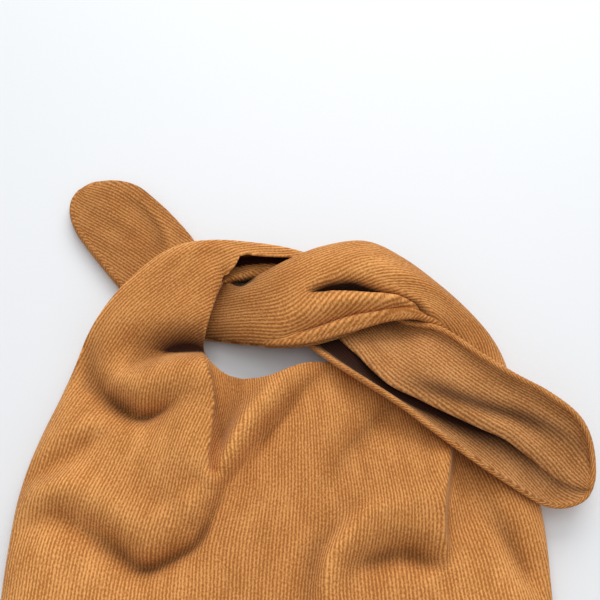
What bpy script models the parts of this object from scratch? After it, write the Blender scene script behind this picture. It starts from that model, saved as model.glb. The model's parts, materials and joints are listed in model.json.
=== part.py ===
"""Knot wristlet bag of fine-wale corduroy, lying on its back with its two straps tied in a half knot.

The bag is cut as a front and a back, each with two arms that run on from the shoulders. The front
and back arms are sewn together along the outer side, so each strap is a folded band, open along its
inner side. Here each arm is a sheet of its own, 0.3 mm from its panel, and every sheet is
worked out from the short tables below.

Lengths in the tables are millimetres. X runs to the bag's right, Y from its bottom seam to the knot,
Z up from the surface that it lies on.
"""

import bpy
import numpy as np

MM = 0.001

# Cloth
CLOTH = 1.6  # thickness of the corduroy with its facing
JOIN = 0.3  # space left between sheets that are sewn together

# Body
BOTTOM = -118.0  # Y of the bottom seam
CORNER = 45.0  # radius of the bottom corners
SEAM_HEIGHT = 8.0  # Z of the side and bottom seams
LOFT = 22.0  # height of the front above the surface, without its folds
FRONT_ROUND = 30.0  # how far in from the seam the front goes on rising
BACK_ROUND = 16.0  # how far in from the seam the back comes down to lie flat

# Body in plan, one row for each level from above the bottom corners to the shoulders: the side seams
# and, inside them, the lines that run up to the two ends of the neck
BODY_COLUMNS = ("left_x", "left_y", "inner_left_x", "inner_left_y",
                "inner_right_x", "inner_right_y", "right_x", "right_y")
BODY_LEVELS = (
    (-130, -73, -33, -73, 76, -73, 129, -73),
    (-131, -40, -33, -40, 75, -40, 129, -40),
    (-130, -8, -32, -8, 76, -8, 129, -10),
    (-127, 17, -32, 20, 80, 14, 127, 14),
    (-121, 38, -33, 48, 84, 38, 124, 36),
    (-114, 57, -37, 76, 84, 62, 119, 58),
)

# Neck edge: part of the way across, and how far it dips below a straight line between the arms
NECK_COLUMNS = ("across", "front_dip", "back_dip")
NECK = (
    (0.00, 0.0, 0.0),
    (0.10, 4.0, -2.0),
    (0.22, 6.0, 0.5),
    (0.34, 1.5, -1.0),
    (0.46, -6.0, -6.0),
    (0.62, -5.0, -5.0),
    (0.80, -2.0, -2.0),
    (1.00, 0.0, 0.0),
)

# Folds of the front. Columns: height above the loft, reach to the left and to the right of the line's
# travel, and the line in plan
FOLDS = (
    # bulge below the left strap, which ends in a step beside the neck
    (7, 30, 4, ((-37, 80), (-33, 50), (-32, 14))),
    # hollow of the left shoulder
    (-9, 9, 9, ((-45, 82), (-62, 92), (-76, 84))),
    (-8, 12, 10, ((-100, 84), (-95, 66), (-80, 53), (-57, 52))),
    # slanting ridge that meets the bulge
    (6, 7, 9, ((8, 74), (-9, 50), (-22, 29), (-32, 12))),
    # long trough from the left side up to the neck
    (-9, 10, 12, ((-118, -8), (-97, -4), (-80, -17), (-62, -25), (-45, -16), (-33, 5), (-16, 34), (6, 56))),
    (5, 12, 12, ((-128, -30), (-96, -26), (-74, -42), (-44, -44), (-22, -24), (-4, 8))),
    # middle
    (-5, 9, 11, ((52, 52), (38, 38), (30, 20), (24, 4))),
    (4, 12, 8, ((50, 2), (28, -12), (21, -28), (18, -58))),
    (-5, 6, 9, ((44, -22), (60, -20), (74, -28))),
    (5, 16, 14, ((66, 40), (58, 14), (62, -8))),
    # step down to the right side
    (5, 14, 4, ((83, 34), (79, 8), (76, -15), (71, -40))),
    (-4, 4, 12, ((88, 34), (86, 8), (84, -20))),
    # pressed down by the tip of the left strap
    (-6, 20, 22, ((34, 84), (60, 66), (96, 40), (128, 22))),
)

# Straps, one row for each cross-section from shoulder to tip. A cross-section runs from the spine side,
# where front and back arm are joined, over the top to the open side, and back below.
# turn_front and turn_back: degrees around the cross-section at which the two arms end
STRAP_COLUMNS = ("spine_x", "spine_y", "spine_z", "open_x", "open_y", "open_z",
                 "rise", "drop", "turn_front", "turn_back")
LEFT_STRAP = (
    (-114, 57, 8, -37, 76, 13, 10, 7, 168, 165),
    (-105, 84, 11, -38, 86, 17, 9, 7, 166, 165),
    (-94, 107, 17, -36, 98, 20, 8, 6, 166, 160),
    (-79, 126, 20, -33, 110, 20, 7, 6.5, 164, 158),
    (-60, 140, 21, -29, 119, 20, 8, 7, 152, 160),
    (-38, 146, 20, -24, 123, 17, 9, 8, 138, 162),
    (-14, 147, 16, -15, 122, 12, 8, 8, 124, 168),
    (9, 147, 8, 0, 112, 7.5, 4.5, 5.5, 110, 172),
    (30, 140, 7.5, 11, 97, 7.5, 4, 5, 90, 176),
    (46, 121, 8, 22, 83, 11, 3.5, 5, 60, 178),
    (60, 100, 16, 38, 70, 25, 4, 4, 36, 178),
    (81, 93.5, 25, 54, 56, 31, 4.5, 6, 20, 178),
    (103, 77, 35, 70, 43, 32, 4, 8, 14, 176),
    (121, 60, 36, 87, 29, 31, 4, 9, 12, 174),
    (138, 45, 32, 105, 17, 27, 4, 10, 12, 172),
    (149, 32, 27, 122, 7, 22, 4, 8, 12, 172),
    (153, 21, 21, 138, 4, 15, 3, 5, 14, 170),
    (154, 14, 17, 148, 7, 14, 2, 2, 20, 165),
)
RIGHT_STRAP = (
    (119, 58, 8, 84, 62, 10, 8, 6.5, 166, 164),
    (118, 76, 8, 88, 73, 10, 7, 6.5, 164, 164),
    (112, 91, 10, 91, 82, 12, 7, 7, 162, 162),
    (101, 104, 14, 85, 93.5, 20, 6, 8, 160, 130),
    (85, 118, 19, 71, 97, 27, 7, 7, 162, 112),
    (65, 133, 24, 55, 98, 26, 9, 6, 164, 116),
    (45, 143, 25, 36, 94, 25, 10, 8, 164, 150),
    (22, 140, 25, 15, 88, 24, 10, 8, 164, 158),
    (5, 130, 22, -3, 86, 21, 9, 6, 164, 158),
    (-14, 117, 16, -19, 86, 15, 8, 5.5, 162, 158),
    (-31, 116, 7, -38, 88, 7, 4.5, 4.5, 160, 156),
    (-42, 131, 5, -62, 99, 5, 3.4, 3.4, 156, 156),
    (-50, 150, 5, -85, 121, 5, 3.2, 3.4, 154, 154),
    (-64, 170, 5, -101, 139, 5, 3.2, 3.2, 154, 154),
    (-80, 185, 5, -114, 156, 5, 3.0, 3.0, 152, 152),
    (-96, 192, 4.6, -121, 172, 4.6, 2.6, 2.6, 150, 150),
    (-109, 193, 4.2, -121, 184, 4.2, 2.2, 2.2, 145, 145),
)
SQUARE = 0.85  # 1 makes each cross-section an ellipse, less makes it fuller

SHOULDER_ROWS = 1.6  # rows over which a strap takes its shape out of the body

# Lengthwise creases of the right strap's top. Columns: first and last row, degrees around the
# cross-section at both, depth, reach to either side
RIGHT_CREASES = (
    (2.6, 7.2, 62, 92, 7.0, 8),
    (4.6, 8.2, 128, 152, 4.0, 7),
)

# Facing of the left strap's tip, the inner sheet of the scoop, with a pleat along its middle
FACING_FIRST = 10.2  # row of LEFT_STRAP at which it comes into sight
FACING_LAST = 16.6
FACING_EDGE = 0.80  # part of the arms' width that it covers
FACING_INSET = CLOTH + 5 * JOIN  # from the arms' middle surface to its own
PLEAT_HEIGHT = 7.0
PLEAT_REACH = 0.20

# How finely the sheets are divided
# steps across the left part, the middle and the right part, and rows
FRONT_STEPS = (9, 16, 7, 31)
BACK_STEPS = (5, 8, 4, 14)
LOW_ROWS = 5  # rows in the round at the bottom
ARM_STEPS = 7
ARM_ROWS_PER_SECTION = 1.6

COLOURS = {
    "corduroy": (0.585, 0.262, 0.068, 1.0),
    "corduroy_back": (0.50, 0.215, 0.052, 1.0),
    "corduroy_facing": (0.53, 0.235, 0.060, 1.0),
}


def clear_scene():
    for thing in list(bpy.data.objects):
        bpy.data.objects.remove(thing, do_unlink=True)


def through(rows, at):
    """The columns of a table at fractional row numbers, on a smooth curve through its rows."""
    rows = np.asarray(rows, float)
    last = len(rows) - 1
    at = np.clip(np.asarray(at, float), 0, last)
    low = np.minimum(at.astype(int), last - 1)
    part = (at - low)[..., None]
    before, start = rows[np.maximum(low - 1, 0)], rows[low]
    end, after = rows[low + 1], rows[np.minimum(low + 2, last)]
    slope_start, slope_end = (end - before) / 2, (after - start) / 2
    return (
        start * (2 * part**3 - 3 * part**2 + 1)
        + slope_start * (part**3 - 2 * part**2 + part)
        + end * (3 * part**2 - 2 * part**3)
        + slope_end * (part**3 - part**2)
    )


def eased(part):
    """0 to 1 with level ends."""
    part = np.clip(part, 0, 1)
    return part * part * (3 - 2 * part)


# Body ------------------------------------------------------------------------------------------

def body_line(level, name):
    """A side seam, with its rounded bottom corner, or one of the two inner lines, in plan."""
    x_column = BODY_COLUMNS.index(name + "_x")
    first = BODY_LEVELS[0][x_column + 1]
    straight = (first - BOTTOM) / (BODY_LEVELS[-1][x_column + 1] - BOTTOM)
    rows = [row[x_column:x_column + 2] for row in BODY_LEVELS]
    above = through(rows, (level - straight) / (1 - straight) * (len(rows) - 1))
    y = BOTTOM + np.clip(level / straight, 0, 1) * (first - BOTTOM)
    x = np.full_like(y, rows[0][0], dtype=float)
    inward = CORNER * (1 - np.sqrt(np.clip(1 - ((first - y) / CORNER) ** 2, 0, 1)))
    x += inward * {"left": 1, "right": -1}.get(name, 0)
    below = np.stack([x, y], axis=-1)
    return np.where((level < straight)[..., None], below, above)


def fold_height(x, y):
    """Sum of the folds: each falls off from its line, with its own reach on the two sides."""
    total = np.zeros_like(x)
    for height, reach_left, reach_right, line in FOLDS:
        nearest = np.full_like(x, np.inf)
        share = np.zeros_like(x)
        count = len(line) - 1
        for i, ((x0, y0), (x1, y1)) in enumerate(zip(line[:-1], line[1:])):
            dx, dy = x1 - x0, y1 - y0
            length = np.hypot(dx, dy)
            along = np.clip(((x - x0) * dx + (y - y0) * dy) / length**2, 0, 1)
            off_x, off_y = x - x0 - along * dx, y - y0 - along * dy
            distance = np.hypot(off_x, off_y)
            # the sign of the cross product tells the left of the line's travel from its right
            reach = np.where(dx * off_y - dy * off_x > 0, reach_left, reach_right)
            scaled = distance / reach
            way = (i + along) / count
            ends = 0.35 + 0.65 * np.sin(np.pi * np.clip(way, 0.02, 0.98)) ** 0.5
            closer = scaled < nearest
            share = np.where(closer, ends * np.exp(-scaled**2), share)
            nearest = np.minimum(nearest, scaled)
        total += height * share
    return total


def inside(x, y, left, right):
    """Distance in from the side seams, taken without their corners, and the bottom seam."""
    from_side = np.minimum(x - left, right - x)
    from_bottom = y - BOTTOM
    corner = np.hypot(np.maximum(CORNER - from_side, 0), np.maximum(CORNER - from_bottom, 0))
    return CORNER - corner


def rounded(distance, reach):
    """Quarter of an ellipse: 0 at the seam, 1 from `reach` inwards."""
    out = 1 - np.clip(distance / reach, 0, 1)
    return np.sqrt(np.clip(1 - out * out, 0, 1))


def body_height(x, y, distance, front):
    if front:
        seam = SEAM_HEIGHT + JOIN
        top = LOFT + fold_height(x, y)
        return seam + (top - seam) * rounded(distance, FRONT_ROUND)
    seam = SEAM_HEIGHT - JOIN
    low = CLOTH / 2
    return low + (seam - low) * (1 - rounded(distance, BACK_ROUND))


def spread(steps, width_share):
    """Steps across a side part, closer together where the cloth turns down to the seam."""
    even = np.linspace(0, 1, steps + 1)
    return even * (1 - width_share) + (1 - np.cos(even * np.pi / 2)) * width_share


def body_grid(front):
    """Grid of the front or the back, and its normals: left part, middle and right part side by side."""
    side_steps, middle_steps, right_steps, rows = FRONT_STEPS if front else BACK_STEPS
    low_share = (FRONT_ROUND if front else BACK_ROUND) / (BODY_LEVELS[-1][1] - BOTTOM)
    low_rows = low_share * (1 - np.cos(np.linspace(0, np.pi / 2, LOW_ROWS + 1)))
    level = np.concatenate([low_rows, np.linspace(low_share, 1, rows - LOW_ROWS)[1:]])
    left, inner_left = body_line(level, "left"), body_line(level, "inner_left")
    inner_right, right = body_line(level, "inner_right"), body_line(level, "right")
    blocks = []
    across = spread(side_steps, 0.6)[None, :, None]
    blocks.append(left[:, None] * (1 - across) + inner_left[:, None] * across)
    across = np.concatenate([[0.035], np.linspace(0.07, 1, middle_steps)])[None, :, None]
    middle = inner_left[:, None] * (1 - across) + inner_right[:, None] * across
    neck = dict(zip(NECK_COLUMNS, np.transpose(NECK)))
    dip = np.interp(across[0, :, 0], neck["across"], neck["front_dip" if front else "back_dip"])
    middle[..., 1] -= dip[None, :] * level[:, None] ** 3
    blocks.append(middle)
    across = (1 - spread(right_steps, 0.6)[::-1])[None, 1:, None]
    blocks.append(inner_right[:, None] * (1 - across) + right[:, None] * across)
    plan = np.concatenate(blocks, axis=1)
    x, y = plan[..., 0], plan[..., 1]
    in_corner = y < BOTTOM + CORNER
    side_left = np.where(in_corner, BODY_LEVELS[0][0], left[:, None, 0])
    side_right = np.where(in_corner, BODY_LEVELS[0][-2], right[:, None, 0])
    distance = inside(x, y, side_left, side_right)
    grid = np.dstack([x, y, body_height(x, y, distance, front)])
    normal = normals(grid)
    # at the seams both sheets stand upright, edge to edge
    outward_x = x - np.clip(x, side_left + CORNER, side_right - CORNER)
    outward_y = np.minimum(y - BOTTOM - CORNER, 0)
    outward = np.dstack([outward_x, outward_y, np.zeros_like(x)]) * (1 if front else -1)
    at_seam = distance < 0.01
    normal[at_seam] = outward[at_seam] / np.linalg.norm(outward[at_seam], axis=-1, keepdims=True)
    return grid, normal


# Straps ----------------------------------------------------------------------------------------

def strap_surface(rows, creases, at, turn_share, inset=0.0):
    """Points of a strap: `at` is a fractional row, turn_share runs from -1 (back edge) to 1 (front).

    With an inset the surface lies that far inside the strap's own.
    """
    row = dict(zip(STRAP_COLUMNS, np.moveaxis(through(rows, at), -1, 0)))
    spine = np.stack([row["spine_x"], row["spine_y"], row["spine_z"]], axis=-1)
    opening = np.stack([row["open_x"], row["open_y"], row["open_z"]], axis=-1)
    middle, half = (spine + opening) / 2, (spine - opening) / 2
    width = np.linalg.norm(half, axis=-1, keepdims=True)
    across = half / width
    up = np.array([0.0, 0.0, 1.0]) - across * across[..., 2:3]
    up /= np.linalg.norm(up, axis=-1, keepdims=True)
    degrees = turn_share * np.where(turn_share > 0, row["turn_front"], row["turn_back"])
    turn = np.radians(degrees)
    sideways = np.sign(np.cos(turn)) * np.abs(np.cos(turn)) ** SQUARE
    lift = np.sign(np.sin(turn)) * np.abs(np.sin(turn)) ** SQUARE
    height = (np.where(lift > 0, row["rise"], row["drop"]) - inset) * lift
    for first, last, turn_first, turn_last, depth, reach in creases:
        way = (at - first) / (last - first)
        line = turn_first + (turn_last - turn_first) * np.clip(way, 0, 1)
        fade = np.sin(np.pi * np.clip(way, 0, 1)) ** 0.5
        off = np.radians(degrees - line) * width[..., 0]
        height = height - depth * fade * np.exp(-((off / reach) ** 2)) * (degrees > 0)
    return middle + (half - across * inset) * sideways[..., None] + up * height[..., None]


def strap_grid(rows, creases):
    """Both arms of a strap as one grid, back edge to front edge, running out of the body's shoulder."""
    count = int((len(rows) - 1) * ARM_ROWS_PER_SECTION) + 1
    at = np.linspace(0, len(rows) - 1, count)[:, None]
    share = np.linspace(-1, 1, 2 * ARM_STEPS + 1)[None, :]
    at, share = np.broadcast_arrays(at, share)
    grid = strap_surface(rows, creases, at, share)
    seam = grid[:, ARM_STEPS, :2][:, None]
    distance = np.linalg.norm(grid[..., :2] - seam, axis=-1)
    x, y = grid[..., 0], grid[..., 1]
    shoulder = np.where(share > 0, body_height(x, y, distance, True), body_height(x, y, distance, False))
    blend = eased(at / SHOULDER_ROWS)
    grid[..., 2] = shoulder * (1 - blend) + grid[..., 2] * blend
    return grid


def facing_grid():
    count = int((FACING_LAST - FACING_FIRST) * ARM_ROWS_PER_SECTION) + 2
    at = np.linspace(FACING_FIRST, FACING_LAST, count)[:, None]
    share = np.linspace(-FACING_EDGE, FACING_EDGE, 2 * ARM_STEPS + 1)[None, :]
    at, share = np.broadcast_arrays(at, share)
    grid = strap_surface(LEFT_STRAP, (), at, share, FACING_INSET)
    way = (at - FACING_FIRST) / (FACING_LAST - FACING_FIRST)
    pleat = PLEAT_HEIGHT * np.exp(-((share / PLEAT_REACH) ** 2)) * (1 - eased((way - 0.55) / 0.45))
    grid[..., 2] += pleat
    return grid


# Sheets to solids ------------------------------------------------------------------------------

def normals(grid):
    down = np.gradient(grid, axis=0, edge_order=2)
    across = np.gradient(grid, axis=1, edge_order=2)
    normal = np.cross(across, down)
    return normal / np.maximum(np.linalg.norm(normal, axis=-1, keepdims=True), 1e-9)


def shortened(grid, outer, inner, by):
    """Moves an edge row of a grid towards the next one, to leave the sewn join open."""
    way = grid[inner] - grid[outer]
    grid[outer] += way / np.linalg.norm(way, axis=-1, keepdims=True) * by


def sheet_object(name, grid, normal, colour):
    """Turns a grid of points (mm) and its normals into a closed sheet of the cloth's thickness."""
    rows, columns = grid.shape[:2]
    offset = normal * (CLOTH / 2)
    points = np.concatenate([(grid + offset).reshape(-1, 3), (grid - offset).reshape(-1, 3)])
    index = np.arange(rows * columns).reshape(rows, columns)
    under = index + rows * columns
    rim = np.concatenate([index[0, :-1], index[:-1, -1], index[-1, :0:-1], index[:0:-1, 0]])
    after = np.roll(rim, -1)
    below = rows * columns
    quads = np.concatenate([
        np.stack([index[:-1, :-1], index[:-1, 1:], index[1:, 1:], index[1:, :-1]], -1).reshape(-1, 4),
        np.stack([under[:-1, :-1], under[1:, :-1], under[1:, 1:], under[:-1, 1:]], -1).reshape(-1, 4),
        np.stack([rim, rim + below, after + below, after], -1),
    ])
    mesh = bpy.data.meshes.new(name)
    mesh.from_pydata((points * MM).tolist(), [], quads.tolist())
    if signed_volume(points, quads) < 0:
        mesh.flip_normals()
    mesh.materials.append(cloth_material(colour))
    thing = bpy.data.objects.new(name, mesh)
    bpy.context.scene.collection.objects.link(thing)
    return thing


def signed_volume(points, quads):
    a, b, c, d = (points[quads[:, i]] for i in range(4))
    return np.sum(np.cross(a, b) * c) + np.sum(np.cross(a, c) * d)


def cloth_material(name):
    material = bpy.data.materials.get(name)
    if material is None:
        material = bpy.data.materials.new(name)
        material.use_nodes = True
        shader = material.node_tree.nodes["Principled BSDF"]
        shader.inputs["Base Color"].default_value = COLOURS[name]
        shader.inputs["Roughness"].default_value = 0.9
        shader.inputs["Metallic"].default_value = 0.0
    return material


def main():
    clear_scene()
    for side, colour in (("front", "corduroy"), ("back", "corduroy_back")):
        grid, normal = body_grid(side == "front")
        sheet_object(side + "_panel", grid, normal, colour)
    for hand, rows, creases in (("left", LEFT_STRAP, ()), ("right", RIGHT_STRAP, RIGHT_CREASES)):
        strap = strap_grid(rows, creases)
        normal = normals(strap)
        shortened(strap, 0, 1, 3 * JOIN)
        front, back = strap[:, ARM_STEPS:].copy(), strap[:, :ARM_STEPS + 1].copy()
        shortened(front, (slice(None), 0), (slice(None), 1), 1.5 * JOIN)
        shortened(back, (slice(None), -1), (slice(None), -2), 1.5 * JOIN)
        sheet_object("front_arm_" + hand, front, normal[:, ARM_STEPS:], "corduroy")
        sheet_object("back_arm_" + hand, back, normal[:, :ARM_STEPS + 1], "corduroy_back")
    facing = facing_grid()
    sheet_object("tip_facing", facing, normals(facing), "corduroy_facing")


main()
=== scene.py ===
# %% [markdown]
# # A knot bag of fine-wale corduroy
# The bag lies on its back on a table. Its two wide straps are tied in a half knot, so that the gap
# below the knot is a handle for the wrist. Cloth holds no shape of its own: what we see is how it was
# cut, where it was sewn and how it fell. So each piece here is a grid of points, and a few short
# tables say where that grid goes. All tables are in millimetres; Blender works in metres.

# %% Load the frame
import json
import bpy
import mathutils
import numpy as np
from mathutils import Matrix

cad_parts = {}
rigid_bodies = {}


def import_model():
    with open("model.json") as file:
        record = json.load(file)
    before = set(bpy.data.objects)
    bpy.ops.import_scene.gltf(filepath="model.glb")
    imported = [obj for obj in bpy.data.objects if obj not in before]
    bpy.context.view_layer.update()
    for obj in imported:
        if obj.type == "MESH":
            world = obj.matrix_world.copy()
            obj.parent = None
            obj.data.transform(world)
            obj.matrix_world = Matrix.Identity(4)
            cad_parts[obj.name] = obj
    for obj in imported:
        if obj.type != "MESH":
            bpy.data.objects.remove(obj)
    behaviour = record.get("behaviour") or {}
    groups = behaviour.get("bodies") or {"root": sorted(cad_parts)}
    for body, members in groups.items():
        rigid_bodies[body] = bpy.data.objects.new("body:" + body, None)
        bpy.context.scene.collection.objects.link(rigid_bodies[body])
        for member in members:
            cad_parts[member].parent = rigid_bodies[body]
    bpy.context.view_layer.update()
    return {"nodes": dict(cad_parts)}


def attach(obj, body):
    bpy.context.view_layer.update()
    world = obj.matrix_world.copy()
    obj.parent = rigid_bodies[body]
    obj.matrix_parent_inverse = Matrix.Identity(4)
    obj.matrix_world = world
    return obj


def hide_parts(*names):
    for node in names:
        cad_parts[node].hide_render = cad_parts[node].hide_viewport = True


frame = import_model()
print("frame:", ", ".join(sorted(frame["nodes"])))
MM = 0.001

# %% [markdown]
# ## Small tools for curves
# A table row is a place that the cloth passes through. Between rows we want a smooth path. A Bezier
# curve object could draw it, but then every point has two handles to look after. A Catmull-Rom curve
# needs none: it goes through each row, and its direction there is taken from the rows on both sides.
# The second tool goes from 0 to 1 with level ends, to blend one shape into another.


# %% Smooth curves through tables
def through(rows, at):
    """The rows of a table at fractional row numbers, on a Catmull-Rom curve through them."""
    rows = np.asarray(rows, float)
    last = len(rows) - 1
    at = np.clip(np.asarray(at, float), 0, last)
    low = np.minimum(at.astype(int), last - 1)
    part = (at - low)[..., None]
    before, start = rows[np.maximum(low - 1, 0)], rows[low]
    end, after = rows[low + 1], rows[np.minimum(low + 2, last)]
    return (
        start * (2 * part**3 - 3 * part**2 + 1)
        + (end - before) / 2 * (part**3 - 2 * part**2 + part)
        + end * (3 * part**2 - 2 * part**3)
        + (after - start) / 2 * (part**3 - part**2)
    )


def eased(part):
    """0 to 1 with level ends: 3 p squared minus 2 p cubed."""
    part = np.clip(part, 0, 1)
    return part * part * (3 - 2 * part)


def unit(vectors):
    """Each vector divided by its own length."""
    return vectors / np.maximum(np.linalg.norm(vectors, axis=-1, keepdims=True), 1e-9)


print("halfway between 0, 10, 20 and 0:", through(((0,), (10,), (20,), (0,)), 1.5))

# %% [markdown]
# ## The body in plan
# Seen from above, the body is a wide rounded sack. Each row of the table is one level of it: the left
# side seam, the two lines that run up to the ends of the neck, and the right side seam. The bottom
# corners are quarter circles. We could cut this outline from a plane with a knife tool, but a grid
# that follows the seams has its edges where the real cloth has them, and it bends evenly.

# %% Outline of the body
BOTTOM = -118.0
CORNER = 45.0
BODY_COLUMNS = ("left_x", "left_y", "inner_left_x", "inner_left_y",
                "inner_right_x", "inner_right_y", "right_x", "right_y")
BODY_LEVELS = (
    (-130, -73, -33, -73, 76, -73, 129, -73),
    (-131, -40, -33, -40, 75, -40, 129, -40),
    (-130, -8, -32, -8, 76, -8, 129, -10),
    (-127, 17, -32, 20, 80, 14, 127, 14),
    (-121, 38, -33, 48, 84, 38, 124, 36),
    (-114, 57, -37, 76, 84, 62, 119, 58),
)


def body_line(level, name):
    """A side seam or an inner line in plan: straight, then a quarter circle at a bottom corner."""
    x_column = BODY_COLUMNS.index(name + "_x")
    first = BODY_LEVELS[0][x_column + 1]
    straight = (first - BOTTOM) / (BODY_LEVELS[-1][x_column + 1] - BOTTOM)
    rows = [row[x_column:x_column + 2] for row in BODY_LEVELS]
    above = through(rows, (level - straight) / (1 - straight) * (len(rows) - 1))
    y = BOTTOM + np.clip(level / straight, 0, 1) * (first - BOTTOM)
    inward = CORNER * (1 - np.sqrt(np.clip(1 - ((first - y) / CORNER) ** 2, 0, 1)))
    x = rows[0][0] + inward * {"left": 1, "right": -1}.get(name, 0)
    return np.where((level < straight)[..., None], np.stack([x, y], axis=-1), above)


left_seam, right_seam = (body_line(np.array([0.5]), name)[0] for name in ("left", "right"))
print("body:", round(right_seam[0] - left_seam[0]), "mm wide halfway up")

# %% [markdown]
# ## The neck edge
# Between the straps the cloth is cut in a shallow curve. At its left end the front sags a little, and
# from the middle on both layers are pulled up. The back reaches a few millimetres further, but it lies
# so much lower that the front hides it.

# %% Neck
# part of the way across, and how far front and back dip below a straight line
NECK = (
    (0.00, 0.0, 0.0),
    (0.06, 5.0, -1.0),
    (0.14, 6.8, 0.2),
    (0.22, 6.0, -0.5),
    (0.30, 3.0, -3.6),
    (0.40, -4.5, -10.6),
    (0.50, -8.5, -14.0),
    (0.62, -9.5, -13.5),
    (0.80, -6.0, -9.0),
    (1.00, 0.0, 0.0),
)
print("the front's neck edge sags by up to", max(row[1] for row in NECK), "mm")

# %% [markdown]
# ## Folds
# A fold is a line in plan. Each row of its table has a place on the line, how much the cloth rises
# there (or sinks, below 0), and how far that reaches to the left and to the right of the line. A
# short reach makes a step, as where one part of the cloth lies over another; a long one makes a soft
# roll. The number before the rows says how sharp the crest is: 2 is a bell curve, nearer 1 it comes
# to an edge, as pressed corduroy does, and 3 is a full roll with steep flanks. A cloth simulation
# could find folds by itself, but not these ones in these places.
# First the folds on the left, where the strap bends down into the knot.

# %% Folds on the left of the front
# sharpness, then rows of x, y, rise, reach to the left, reach to the right
BODY_LEFT_FOLDS = (
    # bulge below the left strap, with the edge beside the neck where it lies over the middle
    (2, ((-43, 88, 2, 3, 22), (-41.7, 76, 6, 2.6, 24), (-39.4, 68, 8, 2.2, 26), (-36.6, 57, 9, 2, 26),
         (-36.4, 45, 9, 2, 24), (-36.6, 33, 8.5, 2, 22), (-36.6, 22, 7, 2.4, 18), (-34, 13, 4, 4, 14),
         (-29, 7, 1, 8, 12))),
    (2, ((-92, 64, 1, 9, 9), (-76, 62, 4, 10, 9), (-60, 64, 5, 11, 9), (-46, 66, 4, 11, 10))),
    # hollow above it, where the strap bends down
    (1.6, ((-90, 68, -2, 12, 7), (-82, 73, -4.5, 12, 7), (-72.5, 79, -7, 12, 6.5),
           (-63, 82, -8, 12, 6.5), (-54, 83.5, -9, 12, 6), (-46, 84, -9, 12, 6),
           (-38, 83.5, -7, 12, 6))),
    # crease round the bulge's left and lower side
    (1.7, ((-103, 92, -3, 7, 12), (-100, 81, -6, 7, 12), (-97, 71, -8, 6, 12), (-91, 63, -10, 5.5, 12),
           (-83, 56.6, -11, 5.5, 12), (-77, 52, -11, 5, 11), (-71, 49.3, -10, 4.5, 10),
           (-66, 49.4, -9, 4.5, 9), (-58, 51.8, -6, 5, 8), (-50, 55, -2, 6, 8))),
    # valley beside the neck, between the edge and the slanting ridge
    (2, ((-20, 78, -2, 8, 8), (-24, 62, -4, 7, 6), (-27.5, 46, -6, 6, 5), (-30, 32, -6, 5, 4),
         (-32, 20, -4, 4, 3))),
    # slanting ridge from the neck down to the bulge's foot
    (3.0, ((12, 75, 2, 7, 10), (5, 66.5, 4, 6.5, 9), (-5, 55, 6, 6.3, 8), (-14.6, 42.4, 7.5, 6.3, 8.5),
           (-22.6, 27.9, 7.5, 6.2, 8), (-28, 17, 6, 6, 7), (-33, 8.6, 4.5, 6, 6), (-38, 1, 3, 8, 9))),
    # crease along its right side, which runs on as the long trough to the left seam
    (1.6, ((14, 65, -2, 12, 5), (3.4, 52.7, -4.5, 12, 4), (-9, 38, -6, 12, 4), (-19, 23, -6.5, 12, 4.4),
           (-26.6, 11.6, -6.5, 12, 7), (-32, 1, -6, 12, 8), (-38, -11, -7, 10, 7),
           (-44, -18, -8.5, 10, 6.5), (-52, -22, -10, 10, 6), (-60, -25.5, -11, 9.5, 5.8),
           (-66, -25.5, -11.5, 9.5, 5.8), (-73, -21, -11, 10, 5.8), (-82, -14.5, -10, 10, 6),
           (-92, -7.5, -9, 10.5, 6), (-104, -2.4, -8.5, 11, 6), (-114, -3, -6.5, 11, 6.5),
           (-124, -9, -4, 11, 7))),
    # the pressed line at the bottom of that crease
    (1.8, ((12, 63, -0.5, 2.6, 2.4), (3.4, 52.7, -2, 2.6, 2.4), (-9, 38, -2.6, 2.6, 2.4),
           (-19, 23, -3, 2.6, 2.4), (-26.6, 11.6, -3, 2.6, 2.4), (-32, 0, -3, 2.6, 2.4),
           (-36, -9, -3.5, 2.6, 2.4), (-41, -16, -4, 2.6, 2.6), (-50, -20.4, -4, 2.8, 2.8),
           (-60, -25, -3.5, 3, 3), (-67, -25.5, -2.5, 3, 3), (-76, -19, -0.5, 3, 3))),
    (1.8, ((-92, 64, -0.5, 3, 3), (-81, 55, -3, 2.6, 2.8), (-71, 49.2, -4.5, 2.4, 2.8),
           (-63, 50.2, -4, 2.4, 2.8), (-54, 53, -1, 3, 3))),
    # crest of the slanting ridge
    (1.6, ((7.5, 71.5, 0.5, 3, 3), (-0.5, 63.4, 1.2, 3, 3), (-12, 50, 1.5, 3, 3),
           (-20.5, 37.2, 1.5, 3, 3), (-26.5, 24.6, 1.3, 3, 3), (-31, 12.3, 0.8, 3, 3))),
    # swelling above the trough
    (2, ((-126, 4, 2, 9, 12), (-115, 9, 4, 8, 12), (-104, 11, 4.5, 8, 12), (-92, 8, 4, 9, 14),
         (-80, 1, 4, 10, 16), (-66, -5, 4.5, 11, 18), (-54, -6, 4, 10, 18), (-44, 0, 3, 9, 16))),
    # soft hollows of the left side
    (2, ((-124, 16, -3, 7, 7), (-111, 22, -4.5, 7, 8), (-102, 28, -5, 7, 8), (-93, 35, -4, 7, 8),
         (-85, 41, -2, 7, 8))),
    (2, ((-112, 34, 1, 8, 8), (-99, 40, 3, 8, 7), (-88, 43, 3, 8, 7), (-76, 40, 2, 8, 8))),
)
print(len(BODY_LEFT_FOLDS), "folds and hollows on the left")

# %% [markdown]
# ## Folds of the middle and the right
# The middle bulges between the neck and the slack lower part, and at its right edge it lies over the
# right side like a lapped seam. Below them all, long and low swellings keep the slack part from
# looking like a board.

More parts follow.
